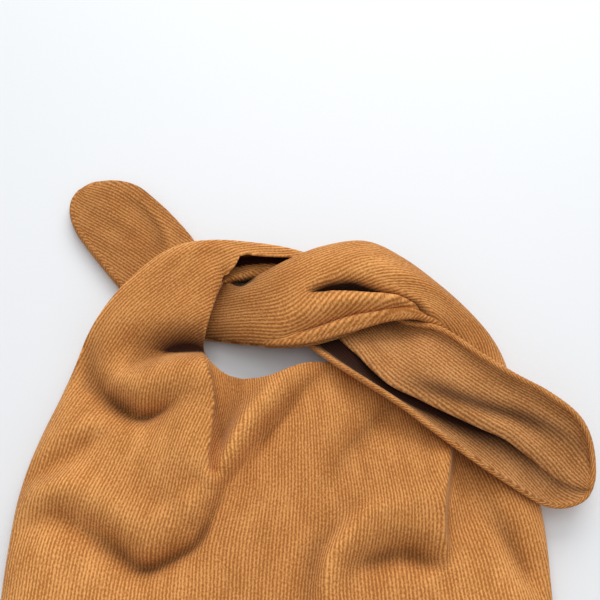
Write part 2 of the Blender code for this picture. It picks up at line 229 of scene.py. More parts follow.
# %% Folds of the middle
BODY_MIDDLE_FOLDS = (
    (1.5, ((60, 60, -2, 11, 8), (52.5, 51.4, -4.5, 11, 8), (43, 41, -6, 11, 8),
           (38, 35.5, -6.5, 11, 7.5), (34, 31, -6, 11, 8), (29, 23, -5, 12, 9), (24, 15, -3.5, 13, 11),
           (17, 4, -2, 14, 14), (8, -10, -1, 15, 16))),
    (1.6, ((64, 3, 1, 13, 9), (53, -0.6, 4, 14, 8), (44, -2.5, 6, 14, 6.5), (36, -9, 7, 14, 5.5),
           (29.5, -16.5, 7.5, 13, 5), (24.5, -23, 7, 12, 4.5), (22, -30, 6.5, 12, 4.5),
           (21, -40, 5, 12, 5.5), (23, -55, 3, 12, 8), (28, -70, 1, 12, 10))),
    (2, ((22, -12, -1.5, 6, 8), (17.5, -22, -3, 5, 8), (16, -34, -3, 5, 9), (16, -46, -2, 6, 10))),
    (1.7, ((33, -29, -2, 5, 8), (38, -25.6, -5, 5, 8), (44, -22.8, -8, 5, 9), (51, -20.6, -9.5, 5.5, 9),
           (58, -19.4, -10, 6, 9), (65, -20, -9.5, 6, 9), (70, -22.5, -8.5, 6, 8), (75, -26, -6, 6, 7),
           (78, -31, -2, 6, 7))),
    # swelling beside the edge on the right
    (2, ((70, 44, 0, 8, 15), (66, 24, 3, 8, 16), (64, 6, 5, 10, 16), (62, -6, 4, 12, 14))),
)
print(len(BODY_MIDDLE_FOLDS), "in the middle")

# %% Folds on the right of the front and below
BODY_RIGHT_FOLDS = (
    # edge where the middle lies over the right side
    (2, ((86, 52, 0, 2, 9), (84.5, 40, 2.5, 1.8, 9), (83.6, 32, 6, 1.8, 9), (82, 24, 8, 1.8, 9),
         (80, 14, 8, 1.8, 9), (78, 4.5, 8, 1.8, 9), (77, -4, 7.5, 2, 9), (76.6, -12, 6.5, 2.4, 9),
         (77, -20, 5, 3, 8), (75, -27, 3, 4, 7), (71, -33, 1, 5, 7))),
    (2, ((96, 56, -5, 12, 9), (95, 36, -6, 13, 9), (92, 16, -5.5, 14, 9), (89, -2, -4, 14, 8),
         (87, -16, -2, 12, 8))),
    (2, ((98, 10, -1, 7, 8), (104, -3, -3, 7, 7), (109, -12, -5, 7, 7), (113.5, -21, -6, 7, 7),
         (118.5, -30, -5.5, 8, 7), (124, -40, -3, 8, 8))),
    # pressed down by the tip of the left strap
    (2, ((30, 86, -7, 14, 22), (60, 66, -8, 14, 22), (96, 40, -7, 14, 20), (128, 20, -4, 14, 20))),
    # the lower part, slack
    (2, ((-112, -52, 1, 14, 14), (-84, -62, 3, 16, 14), (-52, -66, 3, 16, 14), (-24, -60, 1, 16, 14))),
    (2, ((-70, -92, -1, 12, 12), (-42, -88, -3, 12, 12), (-12, -84, -3, 12, 12),
         (14, -86, -1, 12, 12))),
    (2, ((42, -62, 1, 14, 14), (66, -66, 3, 14, 14), (92, -60, 3, 14, 12), (112, -52, 1, 12, 12))),
    (2, ((50, -98, -1, 10, 12), (70, -90, -3, 10, 12), (94, -88, -2.5, 10, 12),
         (110, -84, -1, 10, 12))),
)
FOLDS = BODY_LEFT_FOLDS + BODY_MIDDLE_FOLDS + BODY_RIGHT_FOLDS
print(len(FOLDS), "folds and hollows on the front")

# %% [markdown]
# ## Where the cloth hangs over its own fold
# A height can't say that cloth leans out over what is below it. Beside the neck the front does: the
# bulge under the left strap hangs over the valley. So a second table shifts points sideways there.

# %% Overhangs
# the same columns, with a shift to the right in place of rise
OVERHANGS = (
    (2.0, ((-45, 84, 0, 2, 4), (-42.7, 76, 2, 2, 5), (-40.4, 68, 3.4, 2, 5), (-37.6, 57, 4, 2, 5),
           (-37.4, 45, 4, 2, 5), (-37.6, 33, 3.2, 2, 5), (-37.4, 24, 1.6, 2, 4), (-36, 16, 0, 2, 3))),
)
print("the cloth hangs over by up to", max(row[2] for row in OVERHANGS[0][1]), "mm")

# %% [markdown]
# ## Painted light and shade on the body
# Corduroy pile lies one way. Looked at along the nap it is pale, and against it deep and warm, so one
# cloth has light and dark sides as it turns; here those sides are painted into the colour as painted
# highlight and painted shade. Hollows that no light reaches get painted shade too. These tables say
# where: above 0 is painted shade, below 0 painted highlight.

# %% Painted light and shade of the body
# the same columns, with painted shade in place of rise, and painted highlight below 0
BODY_PAINTED_SHADING = (
    # broad painted highlights low on the left and up the left side
    (2.0, ((-124, -20, -1.4, 24, 30), (-112, -60, -2.1, 30, 34), (-96, -100, -2.1, 30, 34))),
    (2.0, ((-114, 44, -0.9, 14, 16), (-102, 16, -1.2, 16, 20), (-88, -6, -0.9, 14, 16))),
    # painted highlight along the crest of the slanting ridge
    (3.0, ((8.4, 63, -0.5, 4.4, 6), (-1.6, 51.6, -1.4, 4.4, 7), (-10.9, 39.6, -2, 4.4, 7),
           (-19, 25.4, -2, 4.4, 7), (-25.2, 14.6, -1.2, 4.2, 6.5), (-31, 8, -0.6, 4, 5))),
    # broad painted highlights left of the middle, low on the right and low in the middle
    (2.0, ((-90, 24, -0.8, 14, 14), (-66, 31, -1.7, 16, 16), (-48, 34, -1.4, 12, 16))),
    (2.0, ((82, -46, -0.6, 16, 16), (103, -37, -1.7, 18, 18), (118, -58, -1.2, 16, 16))),
    (2.0, ((-78, -38, -0.5, 14, 14), (-56, -46, -0.9, 16, 16), (-34, -50, -0.5, 14, 14))),
    # painted shade down the right side
    (2.0, ((104, 34, 0.5, 14, 14), (108, 8, 0.8, 14, 14), (112, -24, 0.6, 12, 12))),
    # painted shade in the hollow above the bulge, under the left strap
    (2.0, ((-76, 85.5, 0.2, 8, 2), (-67, 86.5, 1.4, 10, 2), (-58, 84, 3, 12, 1.8),
           (-47, 83.5, 3.6, 13, 1.8), (-38, 84, 3, 12, 1.8), (-34, 84, 1.4, 10, 1.8))),
)
print(len(BODY_PAINTED_SHADING), "broad tones and dark hollows")

# %% [markdown]
# ## Height of the folds
# For each point of the cloth we look for the nearest place on a fold's line, and let the fold's rise
# fade with the distance from it. The whole grid is done at once: one pass for each short stretch of a
# line, and the nearest stretch wins.


# %% Height of the folds
def fold_height(x, y, table=FOLDS):
    """Sum over the folds of rise * exp(-(distance / reach) ** sharpness), at the nearest place of each.

    The reach goes over from the left one to the right one within a millimetre or two of the line.
    """
    total = np.zeros_like(x)
    for sharp, rows in table:
        line = through(rows, np.linspace(0, len(rows) - 1, 5 * (len(rows) - 1) + 1))
        nearest = np.full_like(x, np.inf)
        share = np.zeros_like(x)
        for start, end in zip(line[:-1], line[1:]):
            dx, dy = end[:2] - start[:2]
            off_x, off_y = x - start[0], y - start[1]
            along = np.clip((off_x * dx + off_y * dy) / (dx * dx + dy * dy), 0, 1)
            off_x, off_y = off_x - along * dx, off_y - along * dy
            rise, left, right = (start[k] + (end[k] - start[k]) * along for k in (2, 3, 4))
            # the cross product is above 0 to the left of the line's travel
            side = (dx * off_y - dy * off_x) / np.hypot(dx, dy)
            turn = 0.5 + 0.5 * np.tanh(side)
            scaled = np.hypot(off_x, off_y) / (left * turn + right * (1 - turn))
            closer = scaled < nearest
            share = np.where(closer, rise * np.exp(-scaled**sharp), share)
            nearest = np.minimum(nearest, scaled)
        total += share
    return total


beside_neck = fold_height(np.array([-36.0]), np.array([45.0]))[0]
print("beside the neck the folds raise the front by", round(beside_neck, 1), "mm")

# %% [markdown]
# ## A sack with a little air in it
# The bag is two layers of cloth, sewn round the sides and the bottom. The back lies flat and turns up
# to the seam near its edge. The front rises from the seam in a quarter of an ellipse to a nearly flat
# top. Both heights depend only on the distance in from the seam.

# %% Height of the body
# the side seam and the front's top, how far in from the seam each layer is round, the thickness of the
# cloth, and half of the space between the layers at the seam
SEAM_HEIGHT = 8.0
LOFT = 22.0
FRONT_ROUND = 30.0
BACK_ROUND = 16.0
CLOTH = 1.6
JOIN = 0.3


def rounded(distance, reach):
    """Quarter of an ellipse: 0 at the seam, 1 from `reach` inwards."""
    out = 1 - np.clip(distance / reach, 0, 1)
    return np.sqrt(np.clip(1 - out * out, 0, 1))


def body_height(distance, front):
    """Z of the front or the back at a distance from the seam, without the folds.

    The front goes from the seam up to the loft by the rounded share, the back from the table up to
    the seam by what is left of it.
    """
    if front:
        seam = SEAM_HEIGHT + JOIN + CLOTH / 2
        return seam + (LOFT - seam) * rounded(distance, FRONT_ROUND)
    seam = SEAM_HEIGHT - JOIN - CLOTH / 2
    low = CLOTH / 2
    return low + (seam - low) * (1 - rounded(distance, BACK_ROUND))


def inside(x, y, left, right):
    """Distance in from the side seams, taken without their corners, and the bottom seam."""
    from_side = np.minimum(x - left, right - x)
    corner = np.hypot(np.maximum(CORNER - from_side, 0), np.maximum(CORNER - (y - BOTTOM), 0))
    return CORNER - corner


for name, front in (("front", True), ("back", False)):
    print(name, "10 mm in from the seam:", body_height(np.array([10.0]), front).round(1), "mm high")

# %% [markdown]
# ## Straps
# Each strap is a folded band: a front and a back arm, sewn together along the outer side (the spine)
# and open along the other. A row of the table is one cross-section, a flattened ring from the spine
# over the top to the open side and back below. Turns are degrees round that ring. The last columns
# say how far round it each arm reaches, and where the seam between them lies: where the arms stop
# short, the band gapes and we look into it. The rows follow the knot: the left strap goes under the
# right one and comes out over the body, and the right one lies over it and ends flat on the table.

# %% Straps
STRAP_COLUMNS = ("spine_x", "spine_y", "spine_z", "open_x", "open_y", "open_z",
                 "rise", "drop", "turn_front", "turn_back", "seam")
LEFT_STRAP = (
    (-114, 57, 8, -37, 76, 13, 10, 7, 168, 165, 0),
    (-105, 84, 11, -40.4, 85.4, 18, 9, 7, 168, 165, 14),
    (-94, 107, 17, -38.5, 95.5, 21, 8, 6, 168, 160, 28),
    (-79, 126, 20, -35.7, 107.6, 22, 7, 6.5, 168, 160, 34),
    (-60, 140, 21, -32.4, 119.3, 22, 8, 7, 164, 160, 38),
    (-38, 146, 20, -28.7, 125.3, 17, 9, 8, 146, 162, 38),
    (-14, 147, 16, -13.7, 119.5, 14, 8, 8, 80, 168, 36),
    (9, 147, 9, 1.4, 114.9, 10, 5, 5.5, 56, 172, 36),
    (30, 140, 7.5, 11.1, 94.5, 12, 4, 5, 46, 176, 36),
    (48, 119.6, 10, 25.3, 77.1, 25, 3.5, 7, 40, 178, 34),
    (65.3, 102.7, 17, 43.5, 63.1, 29, 4, 8.5, 37, 178, 28),
    (83, 91.8, 27, 60.3, 50.1, 31, 4.5, 9.5, 20, 178, 20),
    (101.1, 74.6, 34, 77.2, 36, 31, 4, 9.5, 14, 176, 14),
    (116.7, 63.9, 34, 93.2, 24, 29, 4, 9, 12, 174, 12),
    (132.4, 56.1, 31, 108.6, 14.3, 25, 4, 9, 12, 172, 12),
    (145.7, 47, 27, 122.4, 6.7, 20, 4, 8, 12, 172, 12),
    (154.6, 36.2, 22, 135.3, 0.8, 16, 3, 6, 12, 172, 12),
    (158.8, 25.7, 18, 146.5, -1.4, 13, 2, 4, 12, 172, 12),
)
RIGHT_STRAP = (
    (119, 58, 8, 84, 62, 10, 8, 6.5, 166, 164, 0),
    (118, 76, 8, 88, 73, 10, 7, 6.5, 164, 164, 0),
    (112, 91, 10, 91, 82, 12, 7, 7, 162, 162, 0),
    (101, 104, 14, 84.5, 92.9, 19, 6, 8, 160, 130, 0),
    (85, 118, 19, 71.2, 97.1, 25.5, 7, 7, 162, 112, 0),
    (65, 133, 24, 55.5, 96.1, 26, 9, 6, 164, 116, 0),
    (45, 143, 25, 35.8, 90.8, 24, 10, 8, 164, 150, 0),
    (22, 140, 25, 16.2, 86, 22, 10, 8, 164, 158, 0),
    (3.6, 132.6, 24, -1.9, 85.2, 20, 9, 6, 164, 158, 0),
    (-12.6, 126.6, 18, -18.8, 88.7, 15, 8, 5.5, 162, 158, 0),
    (-27.6, 127.6, 9.5, -36.7, 93.9, 8, 4.5, 4.5, 160, 156, 0),
    (-41.3, 133, 5, -62, 99, 5, 3.4, 3.4, 156, 156, 0),
    (-47.7, 152.4, 5, -86.3, 122.1, 5, 3.2, 3.4, 154, 154, 0),
    (-62.1, 171, 5, -101.5, 139.8, 5, 3.2, 3.2, 154, 154, 0),
    (-76.6, 185.5, 5, -114, 155.6, 5, 3, 3, 152, 152, 0),
    (-87.1, 194.4, 4.8, -122.6, 168.5, 4.8, 2.8, 2.8, 150, 150, 0),
    (-96.9, 201.3, 4.6, -129.4, 179.1, 4.6, 2.6, 2.6, 150, 150, 0),
)
# where the left strap's front really ends, going round from the spine: row, degrees. Its turn_front
# above is used from row 8.5 on, for where the back arm begins
LEFT_EDGE = ((0, 168), (3, 168), (4.07, 170), (5.05, 143), (5.42, 105), (5.6, 82), (5.8, 74), (6.2, 71),
             (6.5, 67), (7, 56), (8, 46), (9, 40))
for name, strap in (("left", LEFT_STRAP), ("right", RIGHT_STRAP)):
    middles = [(np.array(row[:3]) + row[3:6]) / 2 for row in strap]
    print(name, "strap:", round(sum(np.linalg.norm(b - a) for a, b in zip(middles, middles[1:]))), "mm long")

# %% [markdown]
# ## Folds and painted shade of the straps
# Pulled through the knot, the bands crease along their length. These tables are like the body's, but
# measured on the strap itself: 20 for each row along it, and 40 from its spine to its opening. So a
# crease stays on its strap wherever the strap goes. The painted shade and painted highlights of the
# straps work in the same way.

# %% Folds of the right strap
# sharpness, then rows of place along, place across, rise, reach towards the opening and the spine
RIGHT_FOLDS = (
    # deep slit below the upper roll
    (2.0, ((76, 35, -2, 1.5, 1.5), (85, 29.5, -4, 1, 1), (94, 27.2, -6, 1, 1), (100, 26, -9, 1, 1.2),
           (108, 25.1, -13, 1.2, 1.6), (115, 23.7, -16, 1.5, 2), (123, 22, -17, 1.7, 2.2),
           (130, 20.9, -15, 1.5, 1.9), (136, 20.5, -11, 1.2, 1.5), (141, 20.4, -5, 1.1, 1.2),
           (146, 20.4, 0, 1, 1))),
    # second crease, above the edge
    (1.8, ((70, 36, -1, 1.5, 1.6), (76, 35, -3, 1.5, 1.6), (84, 33, -5, 1.5, 1.8),
           (92, 32.3, -6, 1.5, 2), (99, 32.6, -6.5, 1.6, 2.2), (106, 33, -7, 1.6, 2.4),
           (121, 32.5, -7, 1.7, 2.6), (136, 33.6, -6, 1.7, 2.8), (147, 34.8, -4, 1.8, 3),
           (158, 36.5, -2, 2, 3), (168, 38.5, -0.5, 2, 3))),
    (2.0, ((84, 30, 0, 2, 2), (95, 29, 1.5, 2, 2.4), (104, 29.5, 2.5, 2.4, 3), (118, 29, 3, 3, 3.5),
           (132, 28, 2.5, 4, 4), (148, 28, 1, 5, 6))),
    (2.0, ((80, 12, 1, 6, 6), (100, 15, 3, 6, 7), (120, 13, 3, 6, 7), (140, 13, 1, 7, 8))),
)
# the same columns, but a shift towards the opening: each roll hangs a little over the crease below it
RIGHT_SHIFTS = (
    (2.0, ((85, 27.5, 0, 1.5, 3), (94, 25, 0.4, 1.5, 4), (108, 23.4, 0.6, 1.5, 4),
           (124, 20.2, 0.6, 1.5, 4), (139, 19.6, 0.2, 1.5, 4), (146, 19.5, 0, 1.5, 4))),
    (2.0, ((76, 33, 0, 1.5, 3), (92, 31, 0.8, 1.5, 3), (106, 31.8, 1.3, 1.5, 3),
           (121, 31.4, 1.3, 1.5, 3), (136, 32.3, 1, 1.5, 3), (150, 34, 0, 1.5, 3))),
)
# the flat end of the right strap
TIP_FOLDS = (
    (2.0, ((290, 9, -0.3, 2.5, 4), (278, 8.5, -1.5, 2.5, 5), (267, 8.9, -2.4, 2.2, 6),
           (257, 10, -2.6, 2.2, 6), (250, 13, -2.2, 2.5, 6), (244, 18, -0.8, 3, 5))),
    (2.0, ((262, 20, -0.6, 4, 4), (290, 27, -0.9, 4, 4), (316, 31, -0.4, 4, 4))),
)
# dent in its folded side, where the knot lets us look under it
NOTCH = (
    (2.0, ((178, 1, 0, 5, 6), (184, 1, -4, 5, 6), (190, 1, -7, 5, 6), (195, 1, -3.5, 5, 6),
           (199, 1, 0, 5, 6))),
)
# painted shade in the dent, and a painted highlight on the rim below it: the same columns, with shade in
# place of rise
NOTCH_SHADES = (
    (2.0, ((180, 2, 0, 1.5, 2), (185, 2.6, 5, 1.7, 3), (190, 2.8, 8, 1.8, 3), (196, 2.2, 6, 1.6, 3),
           (201, 1.5, 0, 1.5, 2))),
    (2.0, ((180, 5.6, 0, 1, 1), (186, 5.8, -2, 0.9, 0.9), (192, 5.2, -2, 0.9, 0.9),
           (198, 4, -1.4, 0.9, 0.9), (203, 3, 0, 1, 1))),
)
print(len(RIGHT_FOLDS + TIP_FOLDS + NOTCH), "folds and dents on the right strap")

# %% Folds of the left strap
LEFT_FOLDS = (
    (2.0, ((20, 6, 0, 6, 6), (50, 8, 1.5, 7, 6), (80, 9, 2, 7, 6), (110, 12, 1, 7, 6))),
)
# its inside beyond the knot: the edge stands up, and the cloth falls away beyond it
LEFT_BACK_FOLDS = (
    (2.0, ((96, 38, 0, 1.5, 8), (102, 36, 2, 1.5, 8), (108, 33, 4.5, 1.5, 8), (116, 26, 5.5, 1.5, 8),
           (121, 22, 5.5, 1.5, 8), (128, 17, 3, 1.5, 8), (134, 14, 0, 1.5, 8))),
    (2.0, ((96, 41, 0, 8, 2), (102, 39.5, -3, 8, 2), (108, 37, -6, 9, 2), (116, 30.5, -6, 10, 2),
           (121, 26.5, -6, 10, 2), (128, 21.5, -6, 9, 2), (136, 18, 0, 8, 2))),
)
# painted shade on the hidden parts, where no light reaches: the same columns, with shade in place of rise
LEFT_BACK_SHADES = (
    (2.0, ((96, 27, 2, 1.2, 9), (100, 24, 4, 1.2, 9), (108, 19.5, 5, 1.2, 9), (115, 14.6, 5, 1.2, 9),
           (121, 12, 5, 1.2, 9), (127, 10.2, 5, 1.2, 9), (134, 9, 4, 1.2, 9))),
    (2.0, ((98, 41, 3, 8, 1), (103, 38.5, 6, 8, 1), (108, 35.5, 7, 8, 1), (116, 28.5, 7, 8, 1),
           (121, 24.5, 7, 8, 1), (127, 21, 4, 8, 1))),
)
ARM_FOLDS = {
    ("left", "front"): LEFT_FOLDS,
    ("left", "back"): LEFT_BACK_FOLDS,
    ("right", "front"): RIGHT_FOLDS + TIP_FOLDS + NOTCH,
    ("right", "back"): NOTCH,
}
ARM_SHADES = {("left", "back"): LEFT_BACK_SHADES, ("right", "front"): NOTCH_SHADES}
print("folds of each arm:", {" ".join(arm): len(folds) for arm, folds in ARM_FOLDS.items()})

# %% [markdown]
# ## A ring carried along a strap
# A strap could be a curve object with a bevel, but a bevel keeps one profile, and this band is wide at
# the shoulder, tight in the knot and flat at its tip. So we carry the ring ourselves: at each row it
# has its own middle, width and height, and near the tip it is drawn in to a rounded end.

# %% Rings
SQUARE = 0.85
TIP_REACH = 24.0


def tip_share(distance, reach, power=2.3):
    """Share of a strap's full width at a distance from its tip: a rounded end, 1 from `reach` on."""
    out = 1 - np.clip(distance / reach, 0, 1)
    return np.clip(1 - out**power, 0, 1) ** (1 / power)


def strap_rows(rows, at):
    """The table's columns at fractional rows as a dict, with the ring drawn in towards the tip."""
    row = dict(zip(STRAP_COLUMNS, np.moveaxis(through(rows, at), -1, 0)))
    spine = np.stack([row["spine_x"], row["spine_y"], row["spine_z"]], axis=-1)
    opening = np.stack([row["open_x"], row["open_y"], row["open_z"]], axis=-1)
    fine_rows = np.linspace(0, len(rows) - 1, 400)
    fine = through(rows, fine_rows)
    travel = np.linalg.norm(np.diff((fine[:, :3] + fine[:, 3:6]) / 2, axis=0), axis=-1)
    travel = np.insert(np.cumsum(travel), 0, 0)
    left = travel[-1] - np.interp(at, fine_rows, travel)
    share = np.maximum(tip_share(left, TIP_REACH), 0.02)
    row["middle"], row["half"] = (spine + opening) / 2, (spine - opening) / 2 * share[..., None]
    row["rise"], row["drop"] = row["rise"] * share**0.7, row["drop"] * share**0.7
    row["tip_distance"] = left
    return row


def upright(half):
    """The way across a cross-section, and the way up from it: world up without its part across."""
    across = half / np.maximum(np.linalg.norm(half, axis=-1, keepdims=True), 1e-6)
    return across, unit(np.array([0.0, 0.0, 1.0]) - across * across[..., 2:3])


def fuller(wave):
    """A cosine or sine raised to the power SQUARE with its sign kept, which makes the ring fuller."""
    return np.sign(wave) * np.abs(wave) ** SQUARE


def strap_surface(row, degrees, folded, inset, shove):
    """A flattened ring at each row: middle + half width * cosine + up * height * sine of the turn.

    `folded` is added to the height, `inset` makes the ring smaller, and `shove` moves the cloth
    towards the opening.
    """
    across, up = upright(row["half"])
    sideways, lift = fuller(np.cos(np.radians(degrees))), fuller(np.sin(np.radians(degrees)))
    height = (np.where(lift > 0, row["rise"], row["drop"]) - inset) * lift + folded
    side = (row["half"] - across * inset[..., None]) * sideways[..., None] - across * shove[..., None]
    return row["middle"] + side + up * height[..., None]


print("width at 0, 12 and 24 mm from a tip:", tip_share(np.array([0.0, 12.0, 24.0]), TIP_REACH).round(2))

# %% [markdown]
# ## From grids to cloth
# A grid is only a surface, and cloth has two faces. We will move the grid along its normals by half
# the thickness, out and in. Blender's Solidify modifier can do that too, but here the cloth is thicker
# near a turned edge, and its rim is rounded, so we do it ourselves. The normal is the cross product
# of the two directions of the grid.


# %% Grids
def normals(grid):
    """Cross product of the steps across and down the grid, made one long."""
    down = np.gradient(grid, axis=0, edge_order=1)
    across = np.gradient(grid, axis=1, edge_order=1)
    return unit(np.cross(across, down))


def lengths(grid, axis):
    """Distance travelled over the surface along one axis of the grid."""
    step = np.linalg.norm(np.diff(grid, axis=axis), axis=-1)
    travelled = np.cumsum(step, axis=axis)
    first = np.zeros_like(np.take(travelled, [0], axis=axis))
    return np.concatenate([first, travelled], axis=axis)


def grid_quads(index):
    """Four neighbours to a face, from the grid's point numbers."""
    corners = [index[:-1, :-1], index[:-1, 1:], index[1:, 1:], index[1:, :-1]]
    return np.stack(corners, -1).reshape(-1, 4)


def signed_volume(points, quads):
    """Six times the volume inside the faces, below 0 if they look inwards: (a x b).c + (a x c).d."""
    a, b, c, d = (points[quads[:, i]] for i in range(4))
    return np.sum(np.cross(a, b) * c) + np.sum(np.cross(a, c) * d)


print("a 3 by 3 grid has", len(grid_quads(np.arange(9).reshape(3, 3))), "faces")

# %% [markdown]
# ## Turned edges
# The open edges of the straps are turned in and sewn, so they are thicker than the cloth: there is a
# roll along the very edge. On the left strap there is a second one beside it, and then a groove where
# the stitches pull the cloth down. We don't model the turned layers, only the thickness they make.


# %% Turned edges
def edge_roll(distance, double):
    """Thickness near a turned edge: the cloth's, plus a bell curve for the roll of the seam.

    A double edge has a second, smaller roll inside it, and a groove beside that.
    """
    outer = 1.2 * np.exp(-(((distance - 0.5) / 1.1) ** 2))
    inner = 0.9 * np.exp(-(((distance - 3.0) / 0.8) ** 2)) - 0.5 * np.exp(-(((distance - 4.7) / 0.8) ** 2))
    return CLOTH + outer + inner * double


print("thickness at 0.5, 3 and 8 mm from the edge:", edge_roll(np.array([0.5, 3.0, 8.0]), True).round(2))

# %% [markdown]
# ## Hollows and crests
# Light reaches the bottom of a crease badly and crests catch it, so creases get painted shade and
# crests a painted highlight. To know which is which, we smooth the surface over and over, each point
# moving towards its neighbours, and measure how far the real point lies below the smooth one. The
# material reads this from an attribute called fold.


# %% Hollows and crests
def neighbour_sum(values, first, second):
    """Sum of the values of each point's neighbours, over all edges from `first` to `second`."""
    count = len(values)
    return np.bincount(first, values[second], count) + np.bincount(second, values[first], count)


def hollowness(points, normal, quads, rounds=26, last_rounds=6):
    """How far each point lies below the smoothed surface round it: above 0 in creases, below on crests.

    In each round a point goes halfway to the mean of its neighbours. The last rounds do the same to
    the hollowness itself.
    """
    first, second = quads.ravel(), np.roll(quads, -1, axis=1).ravel()
    count = neighbour_sum(np.ones(len(points)), first, second)
    smooth = points.copy()
    for _ in range(rounds):
        around = np.stack([neighbour_sum(smooth[:, k], first, second) for k in range(3)], axis=-1)
        smooth = (smooth + around / count[:, None]) / 2
    hollow = np.sum((smooth - points) * normal, axis=-1)
    for _ in range(last_rounds):
        hollow = (hollow + neighbour_sum(hollow, first, second) / count) / 2
    return hollow


# %% [markdown]
# ## A closed mesh from a grid
# Both faces are the grid moved along its normals, and the edge is half a circle carried round the rim,
# so the cloth is one closed body with a soft edge. Each corner of a face also keeps its place on the
# flat cloth as a UV map, in metres, so that the wales can follow the cloth through every fold.


# %% Faces of closed cloth
RIM_STEPS = 5


def closed_faces(quads, rim, count):
    """Faces of both sides, and of the half circles that join them round the rim."""
    rings = [2 * count + k * len(rim) + np.arange(len(rim)) for k in range(RIM_STEPS - 1)]
    rings = [rim, *rings, rim + count]
    edge = np.concatenate([
        np.stack([outer, lower, np.roll(lower, -1), np.roll(outer, -1)], -1)
        for outer, lower in zip(rings[:-1], rings[1:])
    ])
    # the rim's faces run the same way round as the sheet's, or they are turned over
    pairs = set(zip(quads.ravel().tolist(), np.roll(quads, -1, axis=1).ravel().tolist()))
    if (int(rim[0]), int(rim[1])) not in pairs:
        edge = edge[:, ::-1]
    return np.concatenate([quads, quads[:, ::-1] + count, edge])


# %% Places on the flat cloth
def lay_uv(mesh, sheet, source, around):
    """UV map "cloth": every face corner's place on the flat cloth, in metres.

    `source` is the sheet's point that each point of the mesh comes from, and `around` how far it
    lies round the rim. The sheet's edge_place is used on faces whose points are all rolled, where
    the cloth turns over.
    """
    corner = np.zeros(len(mesh.loops), dtype=np.int32)
    mesh.loops.foreach_get("vertex_index", corner)
    spots = source[corner]
    all_rolled = sheet["rolled"][spots].reshape(-1, 4).all(axis=1).repeat(4)
    edge_spots = sheet["edge_place"][spots] + np.stack([around[corner], 0 * around[corner]], -1)
    flat = np.where(all_rolled[:, None], edge_spots, sheet["place"][spots]) * MM
    mesh.uv_layers.new(name="cloth").data.foreach_set("uv", flat.astype(np.float32).ravel())


# %% Cloth
def cloth_mesh(name, sheet, rim, inner, quads, material):
    """A closed mesh: points moved out and in by half the thickness, and half circles round the rim.

    `sheet` has each point's place, normal, thickness and painted shade, and its place on the flat
    cloth in millimetres, across and along the wales. `inner` holds the neighbours of the `rim` points.
    """
    points, normal = sheet["points"], sheet["normal"]
    count = len(points)
    half = sheet["thick"][:, None] / 2
    out = unit(points[rim] - points[inner])
    out = unit(out - normal[rim] * np.sum(out * normal[rim], -1, keepdims=True))
    angles = np.pi * np.arange(1, RIM_STEPS) / RIM_STEPS
    rings = [points[rim] + half[rim] * (normal[rim] * np.cos(a) + out * np.sin(a)) for a in angles]
    solid = np.concatenate([points + normal * half, points - normal * half] + rings)
    faces = closed_faces(quads, rim, count)
    if signed_volume(solid, faces) < 0:
        faces = faces[:, ::-1]
    mesh = bpy.data.meshes.new(name)
    mesh.from_pydata((solid * MM).tolist(), [], faces.tolist())
    mesh.validate()
    source = np.concatenate([np.arange(count), np.arange(count)] + [rim] * (RIM_STEPS - 1))
    around = np.concatenate([np.zeros(2 * count)] + [np.full(len(rim), a) for a in angles]) * CLOTH
    lay_uv(mesh, sheet, source, around)
    # painted shade in creases and painted highlight on crests, with the sheet's painted shade added
    fold = hollowness(points, normal, quads)
    fold = np.concatenate([fold, -fold] + [0.5 * np.cos(a) * fold[rim] for a in angles])
    fold = (fold + sheet["shade"][source]).astype(np.float32)
    mesh.attributes.new("fold", "FLOAT", "POINT").data.foreach_set("value", fold)
    mesh.polygons.foreach_set("use_smooth", np.ones(len(mesh.polygons), dtype=bool))
    mesh.materials.append(material)
    mesh.update()
    piece = bpy.data.objects.new(name, mesh)
    bpy.context.scene.collection.objects.link(piece)
    print(f"{name}: {2 * len(faces)} triangles")
    return piece


# %% [markdown]
# ## Corduroy
# Corduroy is woven with extra threads that are cut and brushed up into raised cords of pile, the
# wales, with a bare groove between them. From above a wale is a pale line and a groove a dark one;
# the groove's dark is partly its bare weave and partly painted shade between the raised wales. Because
# the pile stands in little tufts, the lines are beaded rather than ruled. A cosine across the cloth
# gives the wales. Fine noise breaks it into tufts, slow noise bends it a little, and broad noise makes
# the patches that brushing leaves. The same wave, with some fuzz, is the height for the bump. Where the
# fold attribute is above 0 the colour sinks towards brown as painted shade, and below 0 it rises
# towards gold as painted highlight. All of this is one node group, because both cloths use it.

# %% Wales
# width of a wale with its groove; how much wales, tufts and patches move the tone; how much painted
# shade a millimetre of hollow gives and how much painted highlight one of crest gives, and the colours
# that they multiply by
WALE = 1.63
WALE_TONE, TUFT_TONE, PATCH_TONE = 0.82, 2.5, 1.1
CREASE_SHADE_PER_MM, CREST_HIGHLIGHT_PER_MM = 0.27, -0.20
CREASE_SHADE_COLOR, CREST_HIGHLIGHT_COLOR = (0.05, 0.02, 0.01), (1.45, 1.60, 1.70)
WALES_INPUTS = (("Cloth", "Vector"), ("Fold", "Float"), ("Pitch", "Float"),
                ("Light", "Color"), ("Dark", "Color"))
print("a wale and its groove are", WALE, "mm wide")


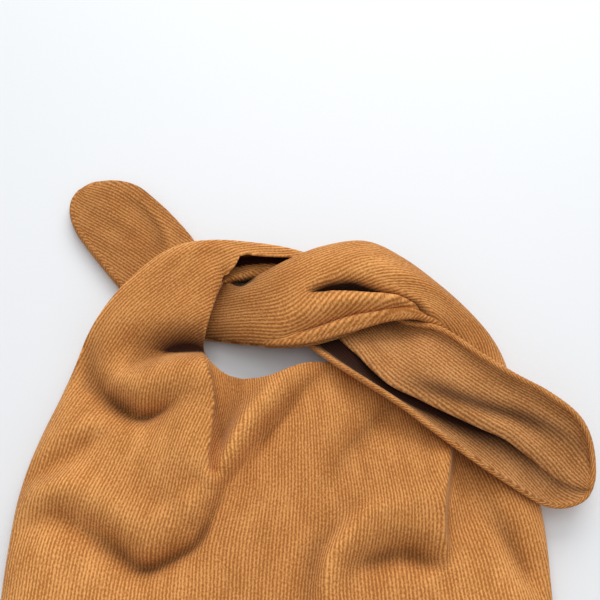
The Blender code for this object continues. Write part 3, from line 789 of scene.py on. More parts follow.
# %% Short ways to add nodes
class Bench:
    """A node tree with short ways to add the few kinds of node that corduroy needs."""

    def __init__(self, tree):
        self.nodes, self.links = tree.nodes, tree.links

    def maths(self, operation, *values, clamp=False):
        """A Math node on numbers or sockets."""
        node = self.nodes.new("ShaderNodeMath")
        node.operation = operation
        node.use_clamp = clamp
        for i, value in enumerate(values):
            if isinstance(value, (int, float)):
                node.inputs[i].default_value = value
            else:
                self.links.new(value, node.inputs[i])
        return node.outputs[0]

    def noise(self, cloth, across, along, detail):
        """Noise on the flat cloth, from about -0.5 to 0.5: so many grains to a metre each way."""
        mapping = self.nodes.new("ShaderNodeMapping")
        mapping.inputs["Scale"].default_value = (across, along, 1)
        self.links.new(cloth, mapping.inputs["Vector"])
        texture = self.nodes.new("ShaderNodeTexNoise")
        texture.inputs["Scale"].default_value = 1.0
        texture.inputs["Detail"].default_value = detail
        self.links.new(mapping.outputs[0], texture.inputs["Vector"])
        return self.maths("SUBTRACT", texture.outputs[0], 0.5)

    def mixed(self, factor, first, second, blend="MIX"):
        """A Mix node on colours: from the first to the second, or to their product."""
        mix = self.nodes.new("ShaderNodeMix")
        mix.data_type = "RGBA"
        mix.blend_type = blend
        for name, value in (("Factor", factor), ("A", first), ("B", second)):
            kind = "VALUE" if name == "Factor" else "RGBA"
            socket = next(s for s in mix.inputs if s.name == name and s.type == kind)
            if isinstance(value, tuple):
                socket.default_value = (*value, 1)
            else:
                self.links.new(value, socket)
        return next(s for s in mix.outputs if s.type == "RGBA")


# %% Wales and their colour
def wales_group():
    """Tone: a cosine of the place across the wales, plus tufts and patches of noise.

    It mixes the dark colour with the light one, then paints shade into creases and highlight onto crests.
    """
    group = bpy.data.node_groups.new("corduroy wales", "ShaderNodeTree")
    for name, kind in WALES_INPUTS:
        group.interface.new_socket(name, in_out="INPUT", socket_type="NodeSocket" + kind)
    group.interface.new_socket("Color", in_out="OUTPUT", socket_type="NodeSocketColor")
    group.interface.new_socket("Height", in_out="OUTPUT", socket_type="NodeSocketFloat")
    bench = Bench(group)
    maths, noise = bench.maths, bench.noise
    source, target = group.nodes.new("NodeGroupInput"), group.nodes.new("NodeGroupOutput")
    cloth, fold = source.outputs["Cloth"], source.outputs["Fold"]
    split = group.nodes.new("ShaderNodeSeparateXYZ")
    group.links.new(cloth, split.inputs[0])
    wobble = maths("MULTIPLY", noise(cloth, 420, 120, 2), 0.5)
    turns = maths("ADD", maths("DIVIDE", split.outputs["X"], source.outputs["Pitch"]), wobble)
    wave = maths("COSINE", maths("MULTIPLY", turns, 2 * np.pi))
    wale = maths("ADD", maths("MULTIPLY", wave, 0.5), 0.5)
    tufts = maths("MULTIPLY", noise(cloth, 1300, 800, 3), TUFT_TONE)
    patches = maths("MULTIPLY", noise(cloth, 90, 45, 3), PATCH_TONE)
    tone = maths("ADD", maths("ADD", maths("MULTIPLY", wale, WALE_TONE), tufts), patches, clamp=True)
    color = bench.mixed(tone, source.outputs["Dark"], source.outputs["Light"])
    # painted shade where the fold attribute is above 0, painted highlight where it is below 0
    crease = maths("MULTIPLY", fold, CREASE_SHADE_PER_MM, clamp=True)
    crest = maths("MULTIPLY", fold, CREST_HIGHLIGHT_PER_MM, clamp=True)
    color = bench.mixed(crease, color, CREASE_SHADE_COLOR, "MULTIPLY")
    color = bench.mixed(crest, color, CREST_HIGHLIGHT_COLOR, "MULTIPLY")
    group.links.new(color, target.inputs["Color"])
    fuzz = maths("MULTIPLY", noise(cloth, 1500, 900, 2), 0.6)
    group.links.new(maths("ADD", wale, fuzz), target.inputs["Height"])
    return group


WALES = wales_group()
print("wales group:", len(WALES.nodes), "nodes")

# %% [markdown]
# ## Two corduroys
# Cotton pile is matt: high roughness and little gloss, with a soft sheen where we look along the
# fibres, so Principled's Sheen is used and not its Coat. The outside is caramel. The facing inside
# the left strap's open tip is the same cloth seen against its nap, and it has deeper colours: painted
# shade for the inside of the scoop.


# %% Corduroy
def corduroy(name, light, dark):
    """Matt cotton: the wales' colour and bump, and a warm sheen on the shader's own sockets."""
    material = bpy.data.materials.new(name)
    material.use_nodes = True
    nodes, links = material.node_tree.nodes, material.node_tree.links
    shader = nodes["Principled BSDF"]
    cloth = nodes.new("ShaderNodeUVMap")
    cloth.uv_map = "cloth"
    fold = nodes.new("ShaderNodeAttribute")
    fold.attribute_name = "fold"
    wales = nodes.new("ShaderNodeGroup")
    wales.node_tree = WALES
    wales.inputs["Pitch"].default_value = WALE * MM
    wales.inputs["Light"].default_value = (*light, 1)
    wales.inputs["Dark"].default_value = (*dark, 1)
    links.new(cloth.outputs[0], wales.inputs["Cloth"])
    links.new(fold.outputs["Fac"], wales.inputs["Fold"])
    links.new(wales.outputs["Color"], shader.inputs["Base Color"])
    bump = nodes.new("ShaderNodeBump")
    bump.inputs["Strength"].default_value = 0.5
    bump.inputs["Distance"].default_value = 0.0004
    links.new(wales.outputs["Height"], bump.inputs["Height"])
    links.new(bump.outputs[0], shader.inputs["Normal"])
    shader.inputs["Roughness"].default_value = 0.9
    shader.inputs["Specular IOR Level"].default_value = 0.2
    shader.inputs["Sheen Weight"].default_value = 0.25
    shader.inputs["Sheen Roughness"].default_value = 0.4
    shader.inputs["Sheen Tint"].default_value = (1.0, 0.75, 0.45, 1)
    return material


CORDUROY = corduroy("corduroy", light=(0.74, 0.335, 0.102), dark=(0.36, 0.120, 0.023))
# the same cloth with deeper colours: painted shade for the inside of the open tip
FACING = corduroy("corduroy_facing", light=(0.64, 0.30, 0.105), dark=(0.30, 0.107, 0.024))
print("materials:", CORDUROY.name, FACING.name)

# %% [markdown]
# ## Where the wales run
# On the flat cloth the wales are straight and parallel. On the bag they bend, because folds take up
# cloth and the knot twists it. So we first say which way they lean, seen from above, in a few places,
# and let every point of the cloth take the lean of the places near it.

# %% Lean of the wales
# x, y and the lean in degrees, from straight up the bag towards its right
BODY_LEANS = (
    (-107, 69, 33), (-99, 84, 33), (-111, 29, 29), (-118, 12, 28), (-105, 8, 26), (-84, 20, 20),
    (-73, 29, 17), (-60, 12, 14), (-46, -5, 13), (-71, -9, 16), (-39, 24, 27), (-38, 42, 38),
    (-36, 54, 30), (-58, 64, 3), (-71, 64, 10), (-81, 71, 28), (-93, 60, 28), (-48, 39, 17),
    (-119, -9, 15), (-117, -33, 6), (-94, -21, 5), (-69, -33, 0), (-45, -25, 0), (84, 15, -28),
    (93, 1, -27), (109, -5, -24), (122, -12, -20), (85, -15, -26), (98, -25, -20), (110, -31, -24),
    (122, -31, -22), (81, -35, -4), (90, -38, -8), (103, -40, -16), (67, 15, 1), (75, 29, 3),
    (66, -12, 8), (75, -5, 6), (58, -35, 2), (-25, 47, -4), (-11, 51, -12), (-19, 25, -20),
    (-30, 17, -10), (3, 59, -12), (22, 64, -3), (-3, 33, 6), (-10, 3, 4), (11, 25, 3),
    (8, -18, 1), (25, 3, 6), (25, -25, 20), (35, -14, 32), (49, -7, 15), (43, 17, -1),
    (38, -35, 3), (-24, -4, 5), (-44, -11, 22), (-39, 11, 15), (-23, -31, 0), (4, -35, 0),
    (54, 33, -2), (25, 39, 1), (35, 55, -2), (88, 29, -20), (107, 14, -26), (-46, 71, 6),
    (-67, 76, 25), (-49, 82, 35), (-110, -55, 2), (-70, -60, 0), (-30, -60, 0), (10, -60, 0),
    (50, -60, 0), (90, -60, -4), (118, -60, -8), (-100, -95, 0), (0, -95, 0), (100, -95, 0),
)
LEFT_LEANS = (
    (-100, 83, 38), (-93, 97, 43), (-78, 108, 51), (-63, 114, 54), (-48, 126, 52), (-35, 131, 57),
    (-42, 108, 52), (-46, 89, 50), (-67, 91, 48), (-82, 86, 43), (-27, 137, 66), (-19, 138, 84),
    (-6, 140, 95), (10, 138, 100), (26, 135, 105), (-40, 120, 50), (-55, 103, 54),
)


def leaning(points, table, reach=8.0):
    """Lean at each point in radians: the table's leans, weighted by how near they are."""
    table = np.array(table, float)
    apart = np.hypot(points[..., None, 0] - table[:, 0], points[..., None, 1] - table[:, 1])
    weight = np.exp(-((apart / reach) ** 2) / 2) + 1e-4 / (1 + (apart / reach) ** 2)
    return np.radians(np.sum(weight * table[:, 2], -1) / np.sum(weight, -1))


def way_of_wales(points, normal, table):
    """Direction on the cloth that is seen from above at the table's lean."""
    lean = leaning(points, table)
    plan = np.stack([np.sin(lean), np.cos(lean)], axis=-1)
    climb = -np.sum(plan * normal[..., :2], axis=-1) / np.maximum(normal[..., 2], 0.12)
    return unit(np.concatenate([plan, climb[..., None]], axis=-1))


beside_neck = leaning(np.array([-38.0, 42.0, 0.0]), BODY_LEANS)
print("beside the neck the wales lean by", round(np.degrees(beside_neck)), "degrees")

# %% [markdown]
# ## Laying the cloth flat again
# Now each point needs a place on the flat cloth, so that the pattern keeps its spacing while it
# follows those leans. Blender's own unwrap would keep angles but not the way of the wales. Instead we
# ask of each edge of the grid that the place changes by just what the edge runs across and along the
# wales. There are far more edges than points, so no answer fits them all, and we look for the one
# with the smallest sum of squared misses. Conjugate gradients finds it: each round is one whole-array
# step, and after some hundreds of them the misses stop shrinking.


# %% Flat cloth
def grid_edges(index, points):
    """Pairs of neighbours in a grid, weighted by the width of cloth that each edge stands for."""
    grid = points[index]
    across = np.maximum(np.linalg.norm(np.diff(grid, axis=1), axis=-1), 0.02)
    down = np.maximum(np.linalg.norm(np.diff(grid, axis=0), axis=-1), 0.02)
    wide = (np.concatenate([across[:, :1], across], 1) + np.concatenate([across, across[:, -1:]], 1)) / 2
    tall = (np.concatenate([down[:1], down], 0) + np.concatenate([down, down[-1:]], 0)) / 2
    pairs = [np.stack([index[:, :-1].ravel(), index[:, 1:].ravel()], -1)]
    pairs.append(np.stack([index[:-1].ravel(), index[1:].ravel()], -1))
    weight = [((tall[:, :-1] + tall[:, 1:]) / 2 / across).ravel()]
    weight.append(((wide[:-1] + wide[1:]) / 2 / down).ravel())
    return np.concatenate(pairs), np.clip(np.concatenate(weight), 0.05, 20)


def laid_flat(points, normal, along, indices, start, rounds=900):
    """Each point's place on the flat cloth, across and along the wales, in millimetres.

    Over every edge between neighbours the place should change by the part of that edge that runs
    across the wales, and by the part along them. No flat cloth can do that everywhere, so the sum
    of the squared misses is made as small as it can be, by conjugate gradients.
    """
    parts = [grid_edges(index, points) for index in indices]
    pairs = np.concatenate([part[0] for part in parts])
    weight = np.concatenate([part[1] for part in parts])[:, None]
    first, second = pairs.T
    edge = points[second] - points[first]
    ways = np.stack([np.cross(along, normal), along], axis=1)
    wanted = np.sum(edge[:, None] * (ways[first] + ways[second]) / 2, axis=-1)

    def gathered(flow):
        """What flows into each point over its edges, less what flows out."""
        flow = weight * flow
        return np.stack([
            np.bincount(second, flow[:, k], len(points)) - np.bincount(first, flow[:, k], len(points))
            for k in (0, 1)
        ], axis=-1)

    own = np.bincount(first, weight[:, 0], len(points)) + np.bincount(second, weight[:, 0], len(points))
    own = np.maximum(own, 1e-6)[:, None]
    place = start.copy()
    miss = gathered(wanted - (place[second] - place[first]))
    step = miss / own
    size = np.sum(miss * step, axis=0)
    for _ in range(rounds):
        pull = gathered(step[second] - step[first])
        share = size / np.maximum(np.sum(step * pull, axis=0), 1e-12)
        place += share * step
        miss -= share * pull
        eased_miss = miss / own
        new_size = np.sum(miss * eased_miss, axis=0)
        step = eased_miss + new_size / np.maximum(size, 1e-12) * step
        size = new_size
    return place


# %% [markdown]
# ## One arm of a strap
# An arm is a grid with two parameters: how far along the strap, and how far round its ring, from the
# seam to its open edge. Where the front arm meets the back arm at the seam, it lies a little over it,
# with a painted highlight on its edge and painted shade beside it, which we see as a thin pale step.
# The table holds up whatever would sink into it.

# %% Turns of an arm
SEAM_SPACE = 0.95


def seam_gap(row, height):
    """Degrees from the seam to an arm's edge, so that the rounded edges lie side by side."""
    near = np.degrees((SEAM_SPACE / np.maximum(row[height], SEAM_SPACE * 1.3)) ** (1 / SQUARE))
    return np.maximum(3.5, near * np.exp(-row["seam"] / 10))


def arm_turns(row, at, share, left, front):
    """Degrees round the ring: where the arm begins beside the seam, and at each share of its way."""
    if front:
        end = np.interp(at, *np.transpose(LEFT_EDGE)) if left else row["turn_front"]
        begin = np.minimum(row["seam"] + seam_gap(row, "rise"), end - 4)
        return begin, begin + (end - begin) * share
    begin = row["seam"] - seam_gap(row, "drop") * (row["seam"] < 60)
    if left:  # beyond the knot nothing lies over the back arm, and it begins where the table says
        begin = np.where(at > 8.5, np.minimum(row["turn_front"], 90), begin)
    return begin, begin - (row["turn_back"] + begin) * share


# %% Step along the left strap's seam
def seam_step(at, degrees, begin, front):
    """How far the ring is drawn in beside the left strap's seam, and the shade there.

    The front arm's ring is larger beside the seam, and the back arm's is smaller, down to 30 degrees
    below the spine. The front arm gets a painted highlight along its edge and the back arm painted
    shade beside the seam, each a bell curve of the turn from the seam.
    """
    step = eased((at - 0.6) / 0.8) * (1 - eased((at - 7) / 1.0))
    if front:
        inset = -0.9 * step * np.exp(-(((degrees - begin) / 12) ** 2))
        return inset, -2.0 * step * np.exp(-(((degrees - begin - 3) / 4) ** 2))
    inset = 0.9 * step * eased((degrees + 30) / 30)
    return inset, 2.4 * step * np.exp(-(((degrees - begin) / 5) ** 2))


# %% Arms
# steps of the grids: along and round each arm, up and across the body
STEPS = {
    "front": {"left": (130, 46), "right": (190, 58), "body": (158, 82)},
    "back": {"left": (190, 38), "right": (170, 34), "body": (60, 40)},
}
# the row where each arm ends
LAST_ROWS = {("left", "front"): 9.6, ("left", "back"): 17, ("right", "front"): 16, ("right", "back"): 16}


def arm_grid(strap, side):
    """One arm: grids of its points, rows, places across, shades and distances from the tip."""
    left, front = strap == "left", side == "front"
    along_steps, round_steps = STEPS[side][strap]
    at = np.linspace(0, 1, along_steps + 1)[:, None]
    # rows a little closer together towards the end
    at = LAST_ROWS[strap, side] * (0.86 * at + 0.14 * np.sin(at * np.pi / 2))
    share = np.linspace(0, 1, round_steps + 1)[None, :]
    at, share = np.broadcast_arrays(at, share)
    row = strap_rows(LEFT_STRAP if left else RIGHT_STRAP, at)
    if front and not left:
        share = share * (1.45 - 0.45 * share)  # and steps closer near the creases and the open edge
    begin, degrees = arm_turns(row, at, share, left, front)
    across = 20 - 20 * fuller(np.cos(np.radians(degrees)))
    # painted shade and painted highlight of the arm, from its table
    shade = fold_height(20 * at, across, ARM_SHADES.get((strap, side), ()))
    shove, inset = np.zeros_like(degrees), np.zeros_like(degrees)
    if front and not left:
        shove = fold_height(20 * at, across, RIGHT_SHIFTS)
        # painted shade in the deep slit, in step with its depth
        shade = shade - 0.7 * fold_height(20 * at, across, RIGHT_FOLDS[:1])
        # painted shade, where the band faces away from the light and its nap looks deeper: as it leaves
        # the shoulder, and again beyond the knot
        off_shoulder = eased((at - 1) / 0.8) * (1 - eased((at - 3.6) / 1.4))
        shade = shade + eased((at - 7.2) / 1.6) + 0.6 * off_shoulder
    if left:
        inset, seam_painted_light = seam_step(at, degrees, begin, front)
        shade = shade + seam_painted_light
    folded = fold_height(20 * at, across, ARM_FOLDS[strap, side])
    grid = strap_surface(row, degrees, folded, inset, shove)
    grid[..., 2] = np.maximum(grid[..., 2], CLOTH / 2 + 0.2)  # the table holds it up
    return {"grid": grid, "at": at, "across": across, "shade": shade,
            "tip_distance": row["tip_distance"], "left": left, "front": front}


# %% [markdown]
# ## The body's grid
# The body's grid runs from the bottom seam up to the shoulders and the neck. It is divided at the two
# inner lines, so that the ends of its last row are exactly as wide as the arms that go on from there.
# Its rows are closer together near the bottom seam and near the neck, where the cloth bends most.


# %% Body
def body_levels(rows):
    """Levels from the bottom seam up, from 0 to 1."""
    low_share = FRONT_ROUND / (BODY_LEVELS[-1][1] - BOTTOM)
    part = np.linspace(0, 1, rows - rows // 6)
    lower = low_share * (1 - np.cos(np.linspace(0, np.pi / 2, rows // 6 + 1)))
    upper = low_share + (1 - low_share) * (0.4 * part + 0.6 * (1 - (1 - part) ** 1.5))
    return np.concatenate([lower, upper[1:]])


def body_plan(level, left_across, right_across, middle_steps, front):
    """Each level divided at the inner lines: the sides as the arms are, the middle closer at its ends."""
    left, inner_left = body_line(level, "left")[:, None], body_line(level, "inner_left")[:, None]
    inner_right, right = body_line(level, "inner_right")[:, None], body_line(level, "right")[:, None]
    across = left_across[None, :, None]
    left_side = left * (1 - across) + inner_left * across
    across = np.linspace(0, 1, middle_steps + 1)
    across = (across - 0.05 * np.sin(2 * np.pi * across))[None, 1:, None]
    middle = inner_left * (1 - across) + inner_right * across
    neck_row = np.interp(across[0, :, 0], np.transpose(NECK)[0], np.arange(len(NECK)))
    dip = through(NECK, neck_row)[:, 1 if front else 2]
    middle[..., 1] -= dip[None, :] * level[:, None] ** 3
    across = 1 - right_across[::-1][None, 1:, None]
    right_side = inner_right * (1 - across) + right * across
    return np.concatenate([left_side, middle, right_side], axis=1)


def body_grid(left_across, right_across, side):
    """The body's points: its plan, its height over the distance from the seam, and its folds."""
    front = side == "front"
    rows, middle_steps = STEPS[side]["body"]
    level = body_levels(rows)
    plan = body_plan(level, left_across, right_across, middle_steps, front)
    x, y = plan[..., 0], plan[..., 1]
    in_corner = y < BOTTOM + CORNER
    side_left = np.where(in_corner, BODY_LEVELS[0][0], body_line(level, "left")[:, None, 0])
    side_right = np.where(in_corner, BODY_LEVELS[0][-2], body_line(level, "right")[:, None, 0])
    distance = inside(x, y, side_left, side_right)
    z = body_height(distance, front)
    if front:
        z = z + fold_height(x, y) * rounded(distance, FRONT_ROUND / 2)
        x = x + fold_height(x, y, OVERHANGS)
    return np.dstack([x, y, z])


# %% [markdown]
# ## Setting the arms on the shoulders
# On the real bag the front and its two arms are one piece of cloth, so there must be no line between
# them. An arm's first rows are blended into the body: they take its height and its folds, and the
# first of them is moved onto the body's own last row. The normals are worked out across that row too.

# %% Shoulders
SHOULDER_ROWS = 1.6


def set_on_shoulder(arm, shoulder):
    """Blends the arm's first rows into the body, and starts it on the body's own row."""
    grid, at = arm["grid"], arm["at"]
    x, y = grid[..., 0], grid[..., 1]
    distance = np.linalg.norm(grid[..., :2] - grid[:, :1, :2], axis=-1)
    of_arm = eased(at / SHOULDER_ROWS)
    grid[..., 2] = body_height(distance, arm["front"]) * (1 - of_arm) + grid[..., 2] * of_arm
    if arm["front"]:
        grid[..., 2] += fold_height(x, y) * (1 - eased((at - 1.1) / 1.1)) * rounded(distance, 12)
        arm["shade"] = arm["shade"] + fold_height(x, y, BODY_PAINTED_SHADING)
    grid += (shoulder - grid[0]) * (1 - of_arm)[..., None]


def shared_normals(body, left, right):
    """Normals of the three grids, which agree on the rows that they share."""
    neck = slice(left.shape[1], -right.shape[1])
    above = np.concatenate([left[1], 2 * body[-1, neck] - body[-2, neck], right[1, ::-1]])
    on_body = normals(np.concatenate([body, above[None]]))[:-1]
    on_left, on_right = normals(left), -normals(right)
    on_left[0], on_right[0] = on_body[-1, :left.shape[1]], on_body[-1, ::-1][:right.shape[1]]
    return on_body, on_left, on_right


# %% [markdown]
# ## Wales and edges of an arm
# Along a strap the wales run lengthwise, and on the right strap they slant a little more towards its
# tip, where the band is twisted. The roll beyond its slit was pulled round, so they slant across it.
# At a turned edge the cloth goes round the seam, and there the wales look like the strands of a rope:
# the flat place runs along the edge at a slant.

# %% Wales and edges of the arms
# by row of the right strap, how far its wales slant from its length
RIGHT_SLANTS = ((0,),) * 10 + ((6,), (12,)) + ((15,),) * 5
ROLL_SLANT = 42
# width of the roll at a single and at a double edge, and the middle of the double one
EDGE_WIDTH, DOUBLE_EDGE_WIDTH, DOUBLE_EDGE_MIDDLE = 2.4, 3.9, 1.9
# how the wales wind round it: so far across them for each millimetre along, and from the edge
ROPE_ALONG, ROPE_ROUND = 0.62, 0.7


def arm_way(arm, normal):
    """Way of the wales: along the strap, turned to the leans seen from above or by the slants."""
    grid, at = arm["grid"], arm["at"]
    way = unit(np.gradient(grid, axis=0))
    if arm["left"] and arm["front"]:
        seen = (eased((normal[..., 2] - 0.15) / 0.35) * (1 - eased((at - 6) / 2)))[..., None]
        way = unit(way * (1 - seen) + way_of_wales(grid, normal, LEFT_LEANS) * seen)
    if not arm["left"]:
        slit = np.array(RIGHT_FOLDS[0][1])
        beyond = arm["across"] - np.interp(20 * at, slit[:, 0], slit[:, 1])
        roll = eased(beyond / 3) * eased((20 * at - 62) / 16) * (1 - eased((20 * at - 138) / 30))
        slant = np.radians(through(RIGHT_SLANTS, at)[..., 0] + ROLL_SLANT * roll * arm["front"])[..., None]
        way = way * np.cos(slant) + np.cross(normal, way) * np.sin(slant)
    at_body = way_of_wales(grid, normal, BODY_LEANS) if arm["front"] else way
    near = (1 - eased(at / 1.2))[..., None]
    return unit(way * (1 - near) + at_body * near)


def arm_on_flat_cloth(grid):
    """A first guess of the arm's place on the flat cloth: lengths travelled across and along it."""
    outwards = np.sign(grid[0, -1, 0] - grid[0, 0, 0])
    along = np.mean(lengths(grid, 0), axis=1, keepdims=True) + grid[0, :, 1]
    return np.dstack([grid[0, 0, 0] + outwards * lengths(grid, 1), along])


def turned_edge(arm, along):
    """Thickness, place on the cloth and rolled points near an arm's edge; the left front edge gets a painted
    highlight.
    """
    at, left, front = arm["at"], arm["left"], arm["front"]
    travelled = lengths(arm["grid"], 1)
    from_edge = travelled[:, -1:] - travelled
    if at.max() > 15:  # the arm runs on to the tip
        from_edge = np.minimum(from_edge, arm["tip_distance"])
    roped = (at > 1.5) & (at < 8.4) | (at > 11)  # the rows where the turned edge shows
    if left:
        roped = (at > 7.4) & (not front)
    if left and not front:
        from_edge = np.where(at > 8.6, np.minimum(from_edge, travelled), from_edge)
    # painted highlight along the left front arm's edge, where it lies over the back arm
    if left and front:
        arm["shade"] = arm["shade"] - 1.6 * np.exp(-((from_edge / 0.9) ** 2)) * eased(at - 1.2)
    turned = np.abs(from_edge - DOUBLE_EDGE_MIDDLE) if left else from_edge
    return {
        "edge_place": np.dstack([ROPE_ALONG * along + ROPE_ROUND * turned, along]),
        "rolled": (from_edge < (DOUBLE_EDGE_WIDTH if left else EDGE_WIDTH)) & roped,
        "thick": np.where(roped, edge_roll(from_edge, left), CLOTH),
    }


# %% [markdown]
# ## Cut in one
# Three grids become one sheet by sharing point numbers: an arm's first row isn't new points, but the
# end of the body's last row. The right arm's grid runs the other way, so its faces are turned over.
# Then the edge is followed once round the whole sheet, which is where the cloth gets its thickness.


# %% One sheet from three grids
def joined(body, left, right):
    """The values of three grids as one list: an arm's first row is the body's own, and is left out."""
    depth = body.shape[2:]
    return np.concatenate([part.reshape(-1, *depth) for part in (body, left[1:], right[1:])])


def numbered(body, left, right):
    """Point numbers of the three grids."""
    index = np.arange(body.shape[0] * body.shape[1]).reshape(body.shape[:2])
    numbers = [index]
    count = index.size
    for grid, shoulder in ((left, index[-1:]), (right, index[-1:, ::-1])):
        new = count + np.arange((grid.shape[0] - 1) * grid.shape[1]).reshape(grid.shape[0] - 1, -1)
        numbers.append(np.concatenate([shoulder[:, :grid.shape[1]], new]))
        count += new.size
    return numbers


def once_round(index, left, right, inwards):
    """Point numbers once round the sheet, on its edge or a step `inwards` from it."""
    low, high = inwards, -1 - inwards
    neck = index[high, ::-1][right.shape[1] - 1:-left.shape[1]]
    return np.concatenate([
        index[low, :-1], index[:-1, high], right[:-1, low], right[high, :-1], right[:0:-1, high], neck,
        left[:-1, high], left[high, :0:-1], left[:0:-1, low], index[:0:-1, low],
    ])


# %% Front or back with its arms
def cut_in_one(side):
    """The front or the back with both its arms, as one sheet of cloth."""
    front = side == "front"
    arms = [arm_grid(strap, side) for strap in ("left", "right")]
    left, right = (arm["grid"] for arm in arms)
    across = [np.linalg.norm(grid[0, :, :2] - grid[0, :1, :2], axis=-1) for grid in (left, right)]
    body = body_grid(across[0] / across[0][-1], across[1] / across[1][-1], side)
    set_on_shoulder(arms[0], body[-1, :left.shape[1]])
    set_on_shoulder(arms[1], body[-1, ::-1][:right.shape[1]])
    normal = shared_normals(body, left, right)
    straight = np.broadcast_to([0.0, 1.0, 0.0], body.shape)
    way = [way_of_wales(body, normal[0], BODY_LEANS) if front else straight]
    way += [arm_way(arm, side_normal) for arm, side_normal in zip(arms, normal[1:])]
    flat = [body[..., :2]] + [arm_on_flat_cloth(arm["grid"]) for arm in arms]
    size = body.shape[:2]
    edges = [{"edge_place": flat[0], "rolled": np.zeros(size, dtype=bool), "thick": np.full(size, CLOTH)}]
    edges += [turned_edge(arm, place[..., 1]) for arm, place in zip(arms, flat[1:])]
    index = numbered(body, left, right)
    quads = np.concatenate([grid_quads(index[0]), grid_quads(index[1]), grid_quads(index[2])[:, ::-1]])
    sheet = {key: joined(*(edge[key] for edge in edges)) for key in edges[0]}
    sheet["points"], sheet["normal"] = joined(body, left, right), joined(*normal)
    # painted light and shade on the front's body; the back has none
    shade = fold_height(body[..., 0], body[..., 1], BODY_PAINTED_SHADING) * front
    sheet["shade"] = joined(shade, *(arm["shade"] for arm in arms))
    sheet["place"] = laid_flat(sheet["points"], sheet["normal"], joined(*way), index, joined(*flat))
    rim, inner = once_round(*index, 0), once_round(*index, 1)
    return cloth_mesh(side + "_cloth", sheet, rim, inner, quads, CORDUROY)


# %% [markdown]
# ## The front
# The front is what shows most: the body's top layer with its folds, and the upper sides of the straps.
# Its left arm stops in the knot, because beyond it the strap has turned over and its inside is up.

# %% Front
front_cloth = cut_in_one("front")

# %% [markdown]
# ## The back
# The back lies under the front, with two arms of its own that close the straps from below. Its left
# arm goes on through the knot to the open tip, where its turned edge stands up all round.

# %% Back
back_cloth = cut_in_one("back")

# %% [markdown]
# ## The facing of the open tip
# Beyond the knot the left strap lies open like a scoop, and we look at the facing sewn inside it. It is
# pressed into one long pleat that runs down its length: the upper part comes to an edge, tucks back
# under it, and the lower part goes on from there to the rim. So a cross-section isn't a height over
# the width, but a curve that turns back on itself, drawn through eleven places.

# %% Table of the facing
# place along, 20 for each row of the strap; where the pleat's edge lies between spine (0) and opening
# (40), and how high; how far it tucks back under; heights of the bottom, the lobe and the dip before it
FACING_COLUMNS = ("twenty_rows", "pleat", "pleat_height", "tuck", "bottom", "lobe", "dip")
FACING_TABLE = (
    (172, 26.0, -2.0, 2.0, -4.0, -2.6, -2.5),
    (190, 29.5, 0.0, 4.0, -4.5, -3.0, -1.0),
    (200, 33.0, 1.0, 5.0, -5.0, -3.0, 0.0),
    (212, 35.0, 1.5, 5.0, -4.6, -2.7, 0.5),
    (228, 32.5, 1.5, 5.0, -5.4, -3.0, -1.2),
    (242, 29.5, 1.0, 4.5, -6.2, -3.8, -3.0),
    (256, 27.0, 0.0, 3.5, -6.6, -3.8, -4.2),
    (270, 25.0, -1.0, 2.5, -6.5, -3.5, -4.0),
    (284, 25.5, -2.0, 1.5, -6.0, -3.0, -4.0),
    (300, 26.0, -3.0, 0.5, -5.5, -3.0, -3.5),
    (316, 26.0, -3.5, 0.0, -5.0, -3.0, -3.0),
    (340, 24.0, -3.0, 0.0, -4.0, -2.5, -2.5),
)
FACING_FIRST, FACING_LAST = 8.6, 16.85


def facing_places(item):
    """Eleven places of a cross-section, each one its way across and its height."""
    edge, beyond = item["pleat"], 40 - item["pleat"]
    under = edge - item["tuck"]
    flat = 0 * edge
    return (
        (0.8 + flat, -0.6 + flat),
        (3.2 + flat, -3.0 + 0.3 * item["dip"]),
        (0.35 * edge, -1.0 + 0.7 * item["dip"]),
        (0.62 * edge, item["dip"] + 0.3 * item["pleat_height"]),
        (edge - 3.5, item["pleat_height"]),
        (edge, item["pleat_height"] - 1.4),
        (under, item["pleat_height"] - 3.4),
        (under + 0.5, item["bottom"]),
        (edge + 0.30 * beyond, item["bottom"] + 0.3),
        (edge + 0.72 * beyond, item["lobe"]),
        (39.2 + flat, -0.8 + flat),
    )


print("the pleat tucks back by up to", max(row[3] for row in FACING_TABLE), "mm")

# %% [markdown]
# ## The facing's surface
# Each row of the grid is a smooth curve through its eleven places, carried along the strap between
# spine and opening, and made flatter towards the tip. The hollow under the pleat gets dark painted
# shade, and the dip before the pleat painted half shade.


# %% Facing
def facing_shade(share, at):
    """Shade by the place on the cross-section: bell curves under the pleat and in the dip before it."""
    under_pleat = 5.5 * np.exp(-(((share - 7.2) / 1.3) ** 2)) * (1 - 0.6 * eased((at - 10.5) / 5))
    in_knot = 6 * np.exp(-(((share - 8.2) / 1.3) ** 2)) * (1 - eased((at - 9.8) / 2.0))
    dip = 2.8 * eased((at - 10.2) / 1.6) * (1 - 0.6 * eased((at - 13.6) / 2.4))
    return under_pleat + in_knot + dip * np.exp(-(((share - 3.6 + 0.43 * (at - 11.5)) / 0.55) ** 2))


def facing_grid(steps, row_steps):
    """Each row's cross-section is a Catmull-Rom curve through eleven places across the strap."""
    at = np.linspace(FACING_FIRST, FACING_LAST, row_steps + 1)
    row = strap_rows(LEFT_STRAP, at)
    table = np.array(FACING_TABLE)
    table_row = np.interp(20 * at, table[:, 0], np.arange(len(table)))
    places = facing_places(dict(zip(FACING_COLUMNS, np.moveaxis(through(table, table_row), -1, 0))))
    sections = np.stack([np.stack(place, axis=-1) for place in places]).reshape(len(places), -1)
    share = np.linspace(0, len(places) - 1, steps + 1)
    across, height = np.moveaxis(through(sections, share).reshape(steps + 1, -1, 2), -1, 0)
    across, height = across.T, height.T
    small = np.clip(row["tip_distance"] / 14, 0, 1)[:, None] ** 0.7
    half = row["half"][:, None]
    up = upright(half)[1]
    grid = row["middle"][:, None] + half * (1 - across / 20)[..., None] + up * (height * small)[..., None]
    return grid, facing_shade(share, at[:, None])


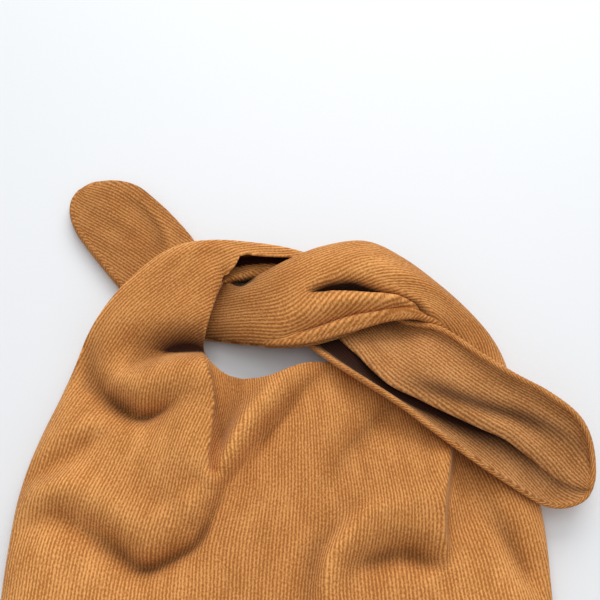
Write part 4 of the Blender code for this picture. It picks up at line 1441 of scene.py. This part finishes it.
def facing_sheet(grid, shade, slant):
    """The facing's sheet: its wales run along the strap, turned by the slant in degrees."""
    points, normal = grid.reshape(-1, 3), normals(grid).reshape(-1, 3)
    index = np.arange(len(points)).reshape(grid.shape[:2])
    along = unit(np.gradient(grid, axis=0)).reshape(-1, 3)
    along = along * np.cos(np.radians(slant)) + np.cross(normal, along) * np.sin(np.radians(slant))
    start = np.dstack([lengths(grid, 1), lengths(grid, 0)]).reshape(-1, 2)
    place = laid_flat(points, normal, along, (index,), start)
    sheet = {"points": points, "normal": normal, "shade": shade.ravel(), "place": place,
             "thick": np.full(len(points), CLOTH),
             "edge_place": place, "rolled": np.zeros(len(points), dtype=bool)}
    rim, inner = (
        np.concatenate([index[k, :-1], index[:-1, -1 - k], index[-1 - k, :0:-1], index[:0:-1, k]])
        for k in (0, 1)
    )
    return cloth_mesh("tip_facing_cloth", sheet, rim, inner, grid_quads(index), FACING)


facing = facing_sheet(*facing_grid(steps=130, row_steps=170), slant=-7)

# %% [markdown]
# ## What each piece stands for
# The cloth pieces take the place of the plain solids that give the bag its weight and its contact
# with the table. Laid flat, the body with two arms above it takes up a good half of its oblong. Cloth
# has no joints, so all three ride on the one body.

# %% Pieces
for piece, slot_name, nodes in (
    (front_cloth, "corduroy", ("front_panel", "front_arm_left", "front_arm_right")),
    (back_cloth, "corduroy_back", ("back_panel", "back_arm_left", "back_arm_right")),
    (facing, "corduroy_facing", ("tip_facing",)),
):
    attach(piece, "root")
    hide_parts(*nodes)
    print(piece.name, "stands for", ", ".join(nodes))

# %% [markdown]
# ## The table
# A plain pale table, large enough to fill the view from every side. It isn't part of the bag.

# %% Table
table_mesh = bpy.data.meshes.new("table_top")
table_mesh.from_pydata([(-3, -3, 0), (3, -3, 0), (3, 3, 0), (-3, 3, 0)], [], [(0, 1, 2, 3)])
table_top = bpy.data.objects.new("table_top", table_mesh)
bpy.context.scene.collection.objects.link(table_top)
pale_table = bpy.data.materials.new("table")
pale_table.use_nodes = True
pale_shader = pale_table.node_tree.nodes["Principled BSDF"]
pale_shader.inputs["Base Color"].default_value = (0.78, 0.79, 0.80, 1)
pale_shader.inputs["Roughness"].default_value = 0.5
table_mesh.materials.append(pale_table)
print("table: 6 by 6 m")

# %% [markdown]
# ## Light
# The bag lies in daylight. A large soft light far behind it, like a window, gives the folds their
# bright upper sides, and a ceiling light and a pale room fill the shadows, so that nothing is black
# but the insides of the folds. Large lights make soft shadow edges, as on a bright cloudy day.


# %% Light
def area_light(name, place, size, power):
    """An oblong light that looks at the middle of the bag."""
    light = bpy.data.lights.new(name, "AREA")
    light.shape = "RECTANGLE"
    light.size, light.size_y = size
    light.energy = power
    lamp = bpy.data.objects.new(name, light)
    bpy.context.scene.collection.objects.link(lamp)
    lamp.location = place
    lamp.rotation_mode = "QUATERNION"
    lamp.rotation_quaternion = (-mathutils.Vector(place)).to_track_quat("-Z", "Y")
    print(f"{name}: {power} W")


area_light("window", place=(0.2, 1.2, 1.0), size=(1.3, 1.0), power=13.9)
area_light("ceiling", place=(0, 0.05, 1.6), size=(1.3, 1.3), power=8.0)
room = bpy.data.worlds.new("room")
bpy.context.scene.world = room
room.use_nodes = True
room.node_tree.nodes["Background"].inputs["Color"].default_value = (0.93, 0.96, 1.0, 1)
room.node_tree.nodes["Background"].inputs["Strength"].default_value = 0.53

# %% [markdown]
# ## Camera
# It looks down on the bag from in front, tilted 25 degrees from straight down, at arm's length. The
# Standard view keeps the cloth's colours as they are, without a film curve.

# %% Camera
scene = bpy.context.scene
scene.view_settings.view_transform = "Standard"
lens = bpy.data.cameras.new("camera")
lens.lens = 60
lens.sensor_width = 36
camera = bpy.data.objects.new("camera", lens)
camera.location = (0.010, -0.1116, 0.4996)
camera.rotation_euler = (np.radians(25), 0, 0)
scene.collection.objects.link(camera)
scene.camera = camera
print("camera", round(camera.location.length, 2), "m from the middle of the bag")
